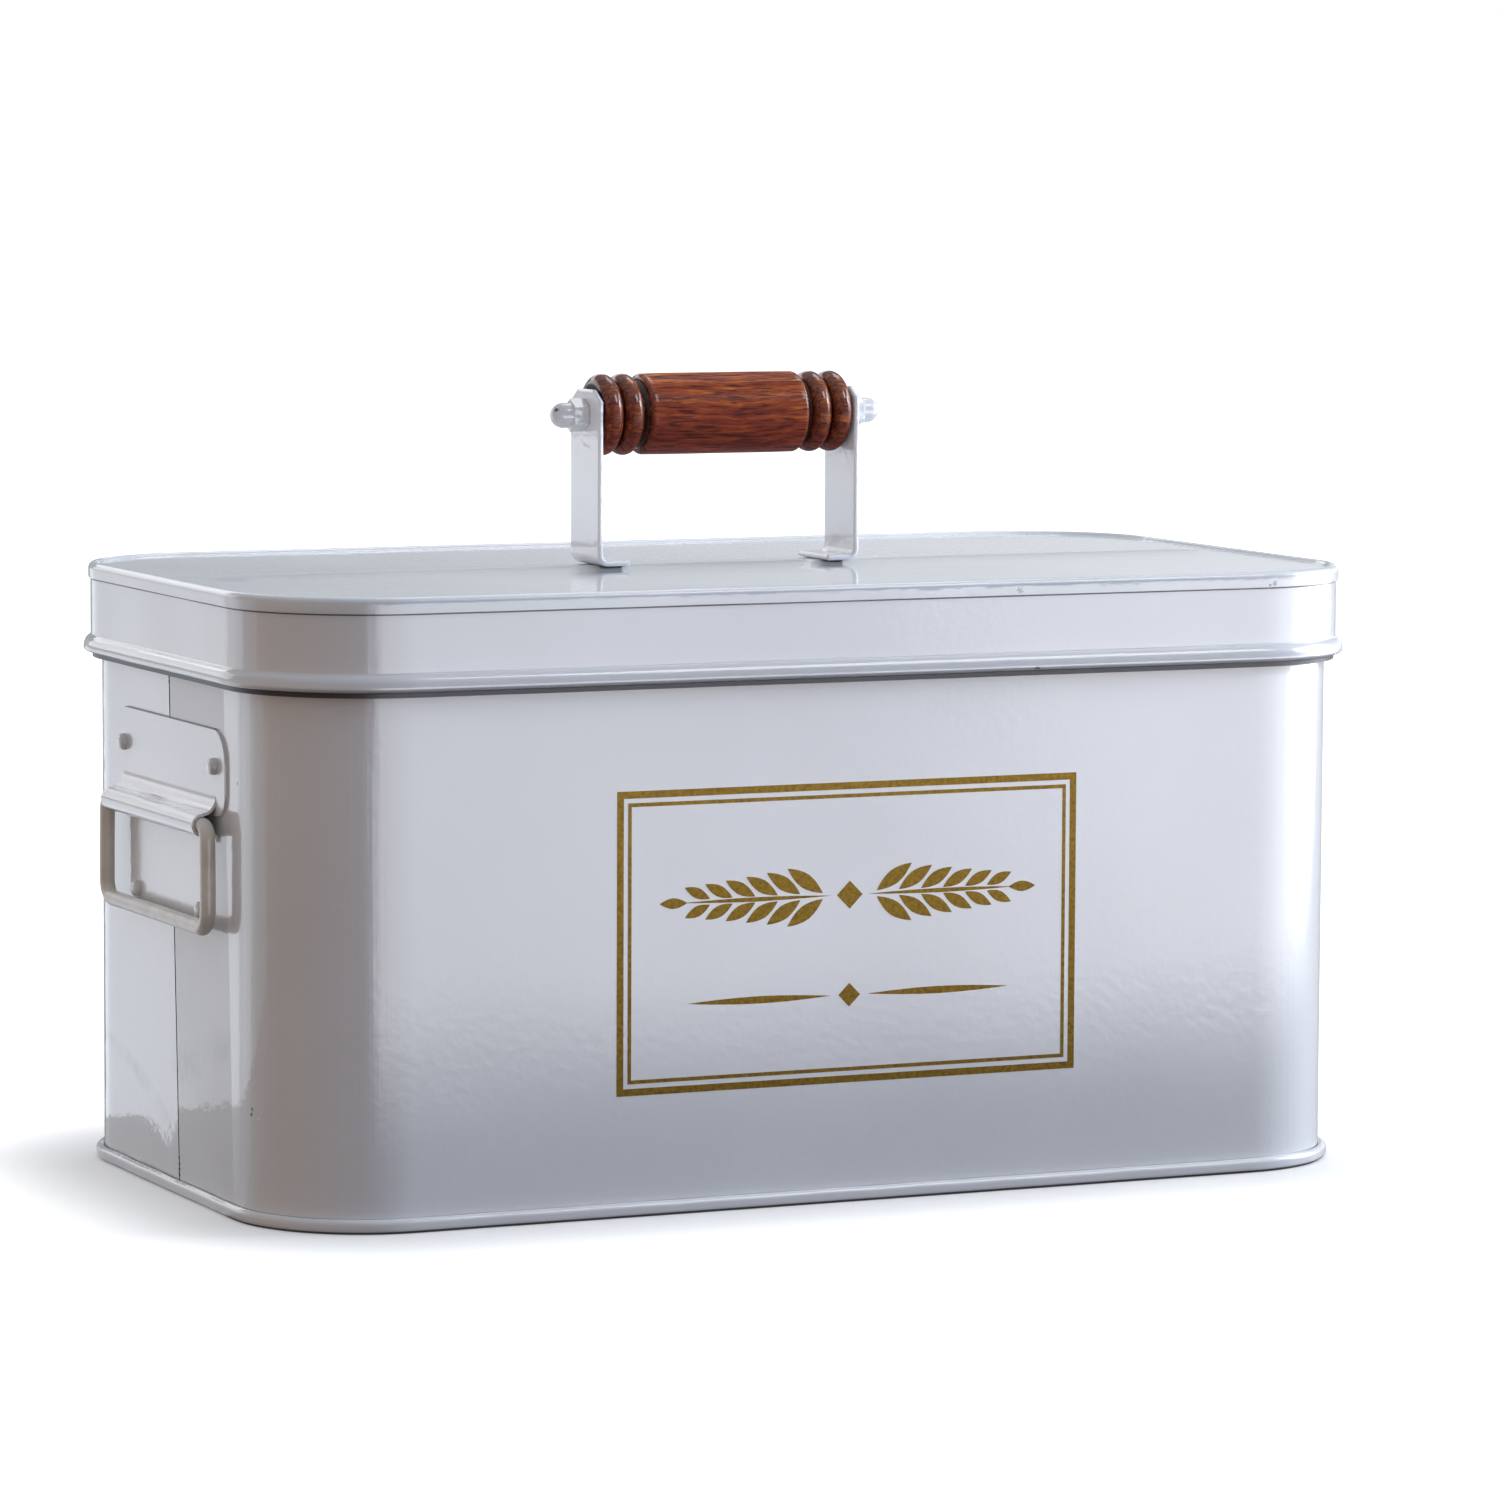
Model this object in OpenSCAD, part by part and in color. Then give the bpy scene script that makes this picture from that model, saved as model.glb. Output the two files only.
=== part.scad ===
// Lidded tin for laundry powder: painted sheet steel box, lift-off lid with a
// turned wooden grip, and a drop bail on each end. Millimetres, +Z up, and the
// origin is at the middle of the base on the surface that it stands on.

/* [Tin body] */
// length over the side walls
body_w = 320; // [260:1:400]
// depth over the side walls
body_d = 173.5; // [165:0.5:220]
// outside radius of the upright corners
corner_r = 35.5; // [25:0.5:39]
// height to the top of the curled edge
body_h = 164.9; // [152:0.1:220]
// thickness of the painted sheet
sheet = 0.5; // [0.4:0.05:0.6]
// width of the lap where the wrapped sheet meets itself
lap_w = 9; // [6:0.5:14]
// distance of the lap's outer edge from the middle of the end
lap_y = -1.2; // [-5:0.1:5]

/* [Base] */
// height of the seamed rim round the base
rim_h = 4; // [3.6:0.1:6]
// how far the seamed rim stands out from the wall
rim_out = 2.26; // [2.2:0.02:3]
// height of the base panel above the ground
base_rise = 4; // [3:0.1:6]
// step of the pressed field in the base panel
field_step = 1; // [0.7:0.1:2]
// distance of the pressed field from the wall
field_inset = 24; // [12:1:30]

/* [Lid] */
// distance of the skirt's outer face from the wall
skirt_off = 3.15; // [2.8:0.05:4]
// height of the lid from the bead's lower edge to the panel
lid_depth = 23.9; // [18:0.1:32]
// half the height of the rolled bead
bead_r = 2.15; // [1.9:0.05:2.6]
// how far the bead stands out from the skirt
bead_out = 2; // [1.6:0.05:2.1]
// height of the edge folded down over the skirt
fold_h = 4.2; // [3.4:0.1:6]
// outside radius of the folded edge
fold_r = 1.6; // [1.5:0.05:1.7]
// how far the folded edge stands above the panel
fold_rise = 0.8; // [0.6:0.05:1]
// height of the raised band along the middle of the panel
band_h = 1; // [0.6:0.05:1.4]
// width of the raised band's flat top
band_w = 10; // [6:0.5:20]
// width of the slope on each side of the raised band
band_slope = 8; // [4:0.5:10]
// distance of the raised band's ends from the wall
band_inset = 10; // [6:1:40]

/* [Lid handle] */
// distance between the straps
strap_gap = 76; // [64:0.5:100]
// thickness of each strap
strap_t = 1.6; // [1.2:0.1:2]
// width of each strap
strap_w = 20; // [16:0.5:24]
// height of the straps above the lid
strap_h = 49.4; // [42:0.1:56]
// cut across each upper corner of the strap, along its top
clip_y = 4.5; // [2:0.1:6]
// cut across each upper corner of the strap, down its side
clip_z = 3; // [2:0.1:5]
// length of the foot turned inward
foot_l = 9.8; // [8:0.1:16]
// inside radius of the bend above the foot
bend_in = 1.5; // [1:0.1:3]
// distance of the rod below the strap's top
rod_drop = 7.1; // [6:0.1:9]
// diameter of the rod
rod_d = 5; // [4.6:0.1:5.4]
// width of the cap nut across its flats
nut_af = 8; // [7.8:0.1:9]
// length of the cap nut
nut_l = 10; // [9:0.1:12]
// length of the nut's hexagon
hex_l = 4.6; // [3.5:0.1:5]
// diameter of the nut's dome
dome_d = 7; // [6.8:0.1:7.6]

/* [Wooden grip] */
// diameter of the grip
grip_d = 22.5; // [19:0.1:25]
// half the width of each turned ring
ring_r = 2.9; // [2.4:0.1:3.2]
// width of the groove between the rings
ring_gap = 0.4; // [0.2:0.1:1]
// width of the groove beside the barrel
neck_gap = 1.5; // [0.8:0.1:3]
// depth of the turned grooves
groove_h = 1.7; // [1.2:0.1:2.3]
// radius of the barrel's shoulders
shoulder_r = 1.5; // [0.8:0.1:1.8]

/* [End handles] */
// thickness of the handle plate
plate_t = 0.8; // [0.6:0.05:1.2]
// width of the handle plate
plate_w = 87; // [84:0.5:90]
// height of the plate's upper edge above the pivot
plate_rise = 25.4; // [22:0.1:28]
// radius of the plate's upper corners
plate_r = 9; // [5:0.5:9]
// height of the bail's pivot above the ground
pivot_z = 103.4; // [60:0.1:110]
// distance of the bail's pivot from the wall
pivot_off = 4.5; // [3.4:0.1:6]
// distance of the knuckle's ends from the plate's sides
knuckle_inset = 6.8; // [5:0.1:12]
// radius of the hollow above the knuckle
hollow_r = 3.6; // [1:0.1:3.7]
// distance of the tongue's sides from the plate's sides
tongue_inset = 13.5; // [9:0.1:18]
// distance that the tongue reaches below the middle of the bail's lower bar
tongue_over = 0.3; // [0:0.1:4]
// diameter of the bail wire
wire_d = 4; // [3.6:0.1:4.2]
// distance of the bail's lower bar below the pivot
bail_drop = 27.3; // [25:0.1:36]
// radius of the bail's upper bends, to the middle of the wire
bail_r = 3.5; // [3:0.1:4]
// radius of the bail's lower corners, to the middle of the wire
bail_low_r = 5; // [4:0.1:8]
// distance of the upper rivets from the plate's sides
rivet_side = 7.5; // [6:0.1:12]
// distance of the upper rivets below the plate's upper edge
rivet_drop = 9.9; // [6:0.1:12]
// distance of the lower rivets from the tongue's sides
rivet_low_side = 4.5; // [4:0.1:8]
// distance of the lower rivets above the tongue's end
rivet_low_rise = 3.8; // [3.5:0.1:8]
// diameter of the rivet shanks
shank_d = 3; // [2.6:0.1:3.2]
// diameter of the rivet heads
head_d = 4.6; // [4.2:0.1:5]
// height of the domed rivet heads
head_h = 1.5; // [1.2:0.1:1.8]

/* [Fits] */
// play between the lid's panel and the curled edge that it rests on
seat_gap = 0.3; // [0.25:0.05:0.5]
// play between the skirt and the curled edge, on each side
side_gap = 0.35; // [0.3:0.05:0.5]
// play in the seams between two sheets
seam_gap = 0.1; // [0.06:0.01:0.13]
// play round the bail's wire
wire_gap = 0.3; // [0.2:0.05:0.4]
// play round the rod in the wooden grip
bore_gap = 0.3; // [0.25:0.05:0.5]
// play between the grip and each strap
end_gap = 0.5; // [0.3:0.05:0.8]
// play round the rod in the straps
rod_gap = 0.1; // [0.05:0.01:0.2]
// play round the rivets in their holes
rivet_gap = 0.05; // [0.03:0.01:0.1]

/* [Hidden] */
$fn = 96;
side_x = body_w - 2 * corner_r;
side_y = body_d - 2 * corner_r;
wall_z = sheet + seam_gap;
flange_out = rim_out - sheet - seam_gap;
leg_in = 2 * sheet + seam_gap;
curl_r = (skirt_off - side_gap) / 2;
lid_z = body_h + seat_gap + sheet;
bead_z = lid_z - lid_depth + bead_r;
fold_off = skirt_off + seam_gap + sheet;
fold_z = lid_z + fold_rise;
foot_z = lid_z + band_h;
strap_in = strap_gap / 2;
strap_out = strap_in + strap_t;
strap_top = lid_z + strap_h;
rod_z = strap_top - rod_drop;
bend_out = bend_in + strap_t;
rod_half = strap_out + nut_l - dome_d / 2;
grip_r = grip_d / 2;
grip_half = strap_in - end_gap;
ring_a = grip_half - ring_r;
ring_b = ring_a - 2 * ring_r - ring_gap;
barrel_half = ring_b - ring_r - neck_gap;
wire_r = wire_d / 2;
knuckle_in = wire_r + wire_gap;
knuckle_out = knuckle_in + plate_t;
knuckle_w = plate_w - 2 * knuckle_inset;
tongue_w = plate_w - 2 * tongue_inset;
tongue_l = bail_drop + tongue_over;
plate_top = pivot_z + plate_rise;
rivet_up_y = plate_w / 2 - rivet_side;
rivet_low_y = tongue_w / 2 - rivet_low_side;
rivet_up_z = plate_top - rivet_drop;
rivet_low_z = pivot_z - tongue_l + rivet_low_rise;
bail_half = knuckle_w / 2 + wire_gap + bail_r;
plate_low_r = 6;

// a profile drawn outward from the wall's face, carried round the four sides and corners
module around() {
  for (turn = [0, 180]) {
    rotate([0, 0, turn]) translate([body_w / 2, side_y / 2, 0]) rotate([90, 0, 0])
      linear_extrude(side_y) children();
    rotate([0, 0, turn + 90]) translate([body_d / 2, side_x / 2, 0]) rotate([90, 0, 0])
      linear_extrude(side_x) children();
    rotate([0, 0, turn]) translate([side_x / 2, side_y / 2, 0])
      rotate_extrude(angle = 90) translate([corner_r, 0]) children();
    rotate([0, 0, turn]) translate([side_x / 2, -side_y / 2, 0]) rotate([0, 0, -90])
      rotate_extrude(angle = 90) translate([corner_r, 0]) children();
  }
}

// a flat panel that ends a given distance outside (or inside) the wall's face
module panel(off, z, h) {
  r = corner_r + off;
  translate([0, 0, z]) linear_extrude(h) {
    square([side_x, side_y + 2 * r], center = true);
    square([side_x + 2 * r, side_y], center = true);
    for (x = [-1, 1], y = [-1, 1]) translate([x * side_x / 2, y * side_y / 2]) circle(r);
  }
}

// one end's rivet places: kids are drawn outward from the wall along +X
module at_rivets() {
  for (y = [-1, 1]) {
    translate([body_w / 2, y * rivet_up_y, rivet_up_z]) rotate([0, 90, 0]) children();
    translate([body_w / 2, y * rivet_low_y, rivet_low_z]) rotate([0, 90, 0]) children();
  }
}

// clearance hole for a rivet through a plate and the wall
module rivet_hole() {
  translate([0, 0, -3]) cylinder(h = 8, d = shank_d + 2 * rivet_gap);
}

module wall_profile() {
  translate([-sheet, wall_z]) square([sheet, body_h - curl_r - wall_z]);
  translate([-sheet, wall_z]) square([sheet + flange_out, sheet]);
  difference() {
    translate([curl_r - sheet, body_h - curl_r]) circle(curl_r);
    translate([curl_r - sheet, body_h - curl_r]) circle(curl_r - sheet);
    translate([0.05, body_h - 3 * curl_r]) square([curl_r - sheet, 2 * curl_r]);
  }
}

module body_wall() {
  color("white") difference() {
    union() {
      around() wall_profile();
      translate([-body_w / 2 + sheet - 0.05, lap_y, rim_h + 2])
        cube([sheet + 0.05, lap_w, body_h - 2 * curl_r - rim_h - 4]);
    }
    translate([-body_w / 2 - 1, lap_y - 0.25, rim_h + 0.2])
      cube([1.22, 0.5, body_h - 2 * curl_r - rim_h - 2]);
    at_rivets() rivet_hole();
    mirror([1, 0, 0]) at_rivets() rivet_hole();
  }
}

module rim_profile() {
  r = 1.5;
  difference() {
    union() {
      translate([-leg_in, 0]) square([sheet, base_rise]);
      translate([-leg_in, 0]) square([leg_in + rim_out - r, rim_h]);
      translate([0, r]) square([rim_out, rim_h - 2 * r]);
      translate([rim_out - r, r]) circle(r);
      translate([rim_out - r, rim_h - r]) circle(r);
    }
    translate([-sheet - seam_gap, sheet]) square([sheet + 2 * seam_gap, rim_h + base_rise]);
    translate([-sheet - seam_gap, sheet])
      square([sheet + 2 * seam_gap + flange_out, sheet + 2 * seam_gap]);
    translate([-leg_in - 1, base_rise]) square([leg_in + 1, rim_h]);
  }
}

module base_pan() {
  color("gainsboro") difference() {
    union() {
      around() rim_profile();
      panel(-leg_in + 0.05, base_rise - sheet, sheet);
      panel(-field_inset, base_rise - sheet / 2, sheet / 2 + field_step);
    }
    panel(-field_inset - sheet, base_rise - 2 * sheet, sheet + field_step);
  }
}

// the panel's edge rises over a half-round fold and turns down outside the skirt
module fold_profile() {
  low = fold_r - fold_rise - sheet;
  translate([fold_off - fold_r, fold_z - fold_r]) difference() {
    circle(fold_r);
    circle(fold_r - sheet);
    translate([-2 * fold_r, low - 2 * fold_r]) square([2 * fold_r, 2 * fold_r]);
    translate([-fold_r, -2 * fold_r]) square([2 * fold_r, 2 * fold_r]);
  }
  translate([fold_off - sheet, fold_z - fold_h]) square([sheet, fold_h - fold_r]);
}

// the raised band along the middle of the lid, with a flat top and sloping sides and ends
module raised_band(z) {
  top = band_w / 2;
  foot = top + band_slope;
  far = body_w / 2 - band_inset;
  intersection() {
    rotate([90, 0, 90]) linear_extrude(2 * far, center = true)
      polygon([[-foot, z - 0.2], [foot, z - 0.2], [foot, z], [top, z + band_h], [-top, z + band_h], [-foot, z]]);
    rotate([90, 0, 0]) linear_extrude(4 * foot, center = true)
      polygon([[-far, z - 0.2], [far, z - 0.2], [far, z],
        [far - band_slope, z + band_h], [band_slope - far, z + band_h], [-far, z]]);
  }
}

module lid_top() {
  color("white") difference() {
    union() {
      around() fold_profile();
      panel(fold_off - 2 * fold_r + sheet + 0.05, lid_z - sheet, sheet);
      raised_band(lid_z);
    }
    raised_band(lid_z - sheet);
  }
}

module skirt_profile() {
  top = fold_z - fold_r;
  translate([skirt_off - sheet, bead_z + bead_r - sheet]) square([sheet, top - bead_z - bead_r + sheet]);
  difference() {
    translate([skirt_off + bead_out - bead_r, bead_z]) circle(bead_r);
    translate([skirt_off + bead_out - bead_r, bead_z]) circle(bead_r - sheet);
    translate([skirt_off - sheet - 4, bead_z - 2 * bead_r]) square([4, 4 * bead_r]);
  }
}

module lid_skirt() {
  color("whitesmoke") around() skirt_profile();
}

// right-hand strap: an upright with clipped corners, bent inward at its foot
module strap() {
  difference() {
    intersection() {
      rotate([90, 0, 0]) linear_extrude(strap_w, center = true) {
        translate([strap_in, foot_z + bend_out]) square([strap_t, strap_top - foot_z - bend_out]);
        translate([strap_out - foot_l, foot_z]) square([foot_l - bend_out, strap_t]);
        translate([strap_out - bend_out, foot_z + bend_out]) difference() {
          circle(bend_out);
          circle(bend_in);
          translate([-2 * bend_out, -bend_out]) square([2 * bend_out, 2 * bend_out]);
          translate([-bend_out, 0]) square([2 * bend_out, 2 * bend_out]);
        }
      }
      rotate([90, 0, 90]) linear_extrude(strap_out + 1) {
        half = strap_w / 2;
        polygon([[-half, lid_z], [half, lid_z], [half, strap_top - clip_z], [half - clip_y, strap_top],
          [clip_y - half, strap_top], [-half, strap_top - clip_z]]);
      }
    }
    translate([0, 0, rod_z]) rotate([0, 90, 0]) cylinder(h = strap_out + 1, d = rod_d + 2 * rod_gap);
  }
}

module left_strap() {
  color("ghostwhite") mirror([1, 0, 0]) strap();
}

module right_strap() {
  color("ghostwhite") strap();
}

module grip_rod() {
  color("silver") translate([0, 0, rod_z]) rotate([0, 90, 0]) cylinder(h = 2 * rod_half, d = rod_d, center = true);
}

// right-hand cap nut: chamfered hexagon, neck and dome over a blind hole
module cap_nut() {
  corner = nut_af / 2 / cos(30);
  bore_l = rod_half - strap_out + 0.4;
  translate([strap_out, 0, rod_z]) rotate([0, 90, 0]) difference() {
    union() {
      intersection() {
        cylinder(h = hex_l, r = corner, $fn = 6);
        cylinder(h = hex_l, r1 = corner + 1.2 * hex_l, r2 = nut_af / 2);
      }
      cylinder(h = nut_l - dome_d / 2, d = dome_d);
      translate([0, 0, nut_l - dome_d / 2]) sphere(d = dome_d);
    }
    translate([0, 0, -1]) cylinder(h = bore_l + 1, d = rod_d + 0.06);
    translate([-dome_d, -dome_d, -dome_d]) cube([2 * dome_d, 2 * dome_d, dome_d]);
  }
}

module left_cap_nut() {
  color("ghostwhite") mirror([1, 0, 0]) cap_nut();
}

module right_cap_nut() {
  color("ghostwhite") cap_nut();
}

module grip_profile() {
  translate([0, -grip_half]) square([grip_r - groove_h, 2 * grip_half]);
  translate([0, -barrel_half]) square([grip_r - shoulder_r, 2 * barrel_half]);
  translate([0, shoulder_r - barrel_half]) square([grip_r, 2 * (barrel_half - shoulder_r)]);
  for (side = [-1, 1]) {
    translate([grip_r - shoulder_r, side * (barrel_half - shoulder_r)]) circle(shoulder_r);
    translate([grip_r - ring_r, side * ring_a]) circle(ring_r);
    translate([grip_r - ring_r, side * ring_b]) circle(ring_r);
  }
}

module wood_grip() {
  color("saddlebrown") translate([0, 0, rod_z]) rotate([0, 90, 0]) difference() {
    rotate_extrude() grip_profile();
    cylinder(h = 3 * grip_half, d = rod_d + 2 * bore_gap, center = true);
  }
}

// section of the knuckle, drawn outward from the wall's face about the pivot's height
module knuckle_profile() {
  difference() {
    union() {
      translate([0, -knuckle_out]) square([pivot_off, 2 * knuckle_out]);
      translate([pivot_off, 0]) circle(knuckle_out);
      translate([0, knuckle_out - 0.1]) square([plate_t + hollow_r, hollow_r + 0.1]);
    }
    translate([-1, -knuckle_in]) square([pivot_off + 1, 2 * knuckle_in]);
    translate([pivot_off, 0]) circle(knuckle_in);
    translate([plate_t + hollow_r, knuckle_out + hollow_r]) circle(hollow_r);
  }
}

// right-hand plate: riveted upper field, knuckle round the wire, and riveted tongue below it
module bail_plate() {
  low = pivot_z + knuckle_in;
  half = plate_w / 2;
  difference() {
    translate([body_w / 2, 0, 0]) union() {
      rotate([90, 0, 90]) linear_extrude(plate_t) {
        translate([-half, low + plate_low_r]) square([plate_w, plate_top - plate_r - low - plate_low_r]);
        translate([plate_r - half, low + plate_low_r])
          square([plate_w - 2 * plate_r, plate_top - low - plate_low_r]);
        translate([plate_low_r - half, low]) square([plate_w - 2 * plate_low_r, plate_low_r + 1]);
        for (side = [-1, 1]) {
          translate([side * (half - plate_r), plate_top - plate_r]) circle(plate_r);
          translate([side * (half - plate_low_r), low + plate_low_r]) circle(plate_low_r);
        }
      }
      rotate([90, 0, 90]) linear_extrude(plate_t) {
        r = 6;
        end = pivot_z - tongue_l;
        translate([-tongue_w / 2, end + r]) square([tongue_w, tongue_l - knuckle_in - r]);
        translate([r - tongue_w / 2, end]) square([tongue_w - 2 * r, r + 1]);
        for (side = [-1, 1]) translate([side * (tongue_w / 2 - r), end + r]) circle(r);
      }
      translate([0, 0, pivot_z]) rotate([90, 0, 0])
        linear_extrude(knuckle_w, center = true) knuckle_profile();
    }
    at_rivets() rivet_hole();
  }
}

module left_bail_plate() {
  color("white") mirror([1, 0, 0]) bail_plate();
}

module right_bail_plate() {
  color("white") bail_plate();
}

// solid rivet: domed head outside, shank, and flat closing head inside
module rivet() {
  ball = (head_d * head_d / 4 + head_h * head_h) / (2 * head_h);
  rotate_extrude() intersection() {
    translate([0, plate_t + head_h - ball]) circle(ball);
    translate([0, plate_t]) square([head_d, head_d]);
  }
  translate([0, 0, -sheet - 0.4]) cylinder(h = sheet + plate_t + 0.8, d = shank_d);
  translate([0, 0, -sheet - 0.9]) cylinder(h = 0.9, d = head_d);
}

module left_rivets() {
  color("white") mirror([1, 0, 0]) at_rivets() rivet();
}

module right_rivets() {
  color("white") at_rivets() rivet();
}

// quarter bend of the wire in the bail's plane, turning from the +Y direction toward +Z
module wire_bend(r) {
  rotate([90, 0, 90]) rotate_extrude(angle = 90) translate([r, 0]) circle(wire_r);
}

// right-hand bail: a closed loop of wire, its upper bar in the knuckle
module bail() {
  translate([body_w / 2 + pivot_off, 0, pivot_z]) {
    rotate([90, 0, 0]) cylinder(h = 2 * (bail_half - bail_r), r = wire_r, center = true);
    translate([0, 0, -bail_drop]) rotate([90, 0, 0])
      cylinder(h = 2 * (bail_half - bail_low_r), r = wire_r, center = true);
    for (flip = [0, 1]) mirror([0, flip, 0]) {
      translate([0, bail_half, bail_low_r - bail_drop])
        cylinder(h = bail_drop - bail_low_r - bail_r, r = wire_r);
      translate([0, bail_half - bail_r, -bail_r]) wire_bend(bail_r);
      translate([0, bail_half - bail_low_r, bail_low_r - bail_drop]) mirror([0, 0, 1]) wire_bend(bail_low_r);
    }
  }
}

module left_bail() {
  color("tan") mirror([1, 0, 0]) bail();
}

module right_bail() {
  color("tan") bail();
}

body_wall();
base_pan();
lid_top();
lid_skirt();
left_strap();
right_strap();
grip_rod();
left_cap_nut();
right_cap_nut();
wood_grip();
left_bail_plate();
right_bail_plate();
left_rivets();
right_rivets();
left_bail();
right_bail();
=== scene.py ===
import math

import bmesh
import bpy
from mathutils import Matrix, Vector, noise


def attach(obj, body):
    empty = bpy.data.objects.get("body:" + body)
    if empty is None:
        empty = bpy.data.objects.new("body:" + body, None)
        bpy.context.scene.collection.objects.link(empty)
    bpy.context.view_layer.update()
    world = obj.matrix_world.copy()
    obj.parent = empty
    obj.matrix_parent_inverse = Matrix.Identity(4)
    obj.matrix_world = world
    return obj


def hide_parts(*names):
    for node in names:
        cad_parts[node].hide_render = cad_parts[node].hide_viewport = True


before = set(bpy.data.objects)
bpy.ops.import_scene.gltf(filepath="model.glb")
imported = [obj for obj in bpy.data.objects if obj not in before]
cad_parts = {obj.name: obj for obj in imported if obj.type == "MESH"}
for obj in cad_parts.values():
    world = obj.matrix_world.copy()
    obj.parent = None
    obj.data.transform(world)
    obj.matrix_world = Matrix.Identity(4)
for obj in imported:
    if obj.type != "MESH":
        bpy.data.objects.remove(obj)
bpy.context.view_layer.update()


# Body wall: one strip of 0.5 mm steel, bent round four corners and lapped down the middle of the left end.
# Its top edge is curled outwards and its foot is turned out for the base to grip. The tin is sprayed
# and stoved in gloss white enamel once it is put together, so the paint runs over every joint.
mm = 0.001
half_length = 160 * mm
half_depth = 86.75 * mm
corner = 35.5 * mm
sheet = 0.5 * mm
seam_y = -1.2 * mm
seam_lean = 0.05
seam_level = 70.5 * mm
lap = 9 * mm


def colour(code):
    """An sRGB hex value as the linear colour that a shader takes."""
    parts = [int(code[i:i + 2], 16) / 255 for i in (1, 3, 5)]
    return [c / 12.92 if c <= 0.04045 else ((c + 0.055) / 1.055) ** 2.4 for c in parts] + [1]


def add(tree, kind, sockets=(), **settings):
    """Adds one node with its settings; each socket takes a value or another node's output."""
    made = tree.nodes.new("ShaderNode" + kind)
    for name, value in settings.items():
        setattr(made, name, value)
    for name, value in dict(sockets).items():
        if isinstance(value, bpy.types.NodeSocket):
            tree.links.new(value, made.inputs[name])
        else:
            made.inputs[name].default_value = value
    return made


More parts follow.
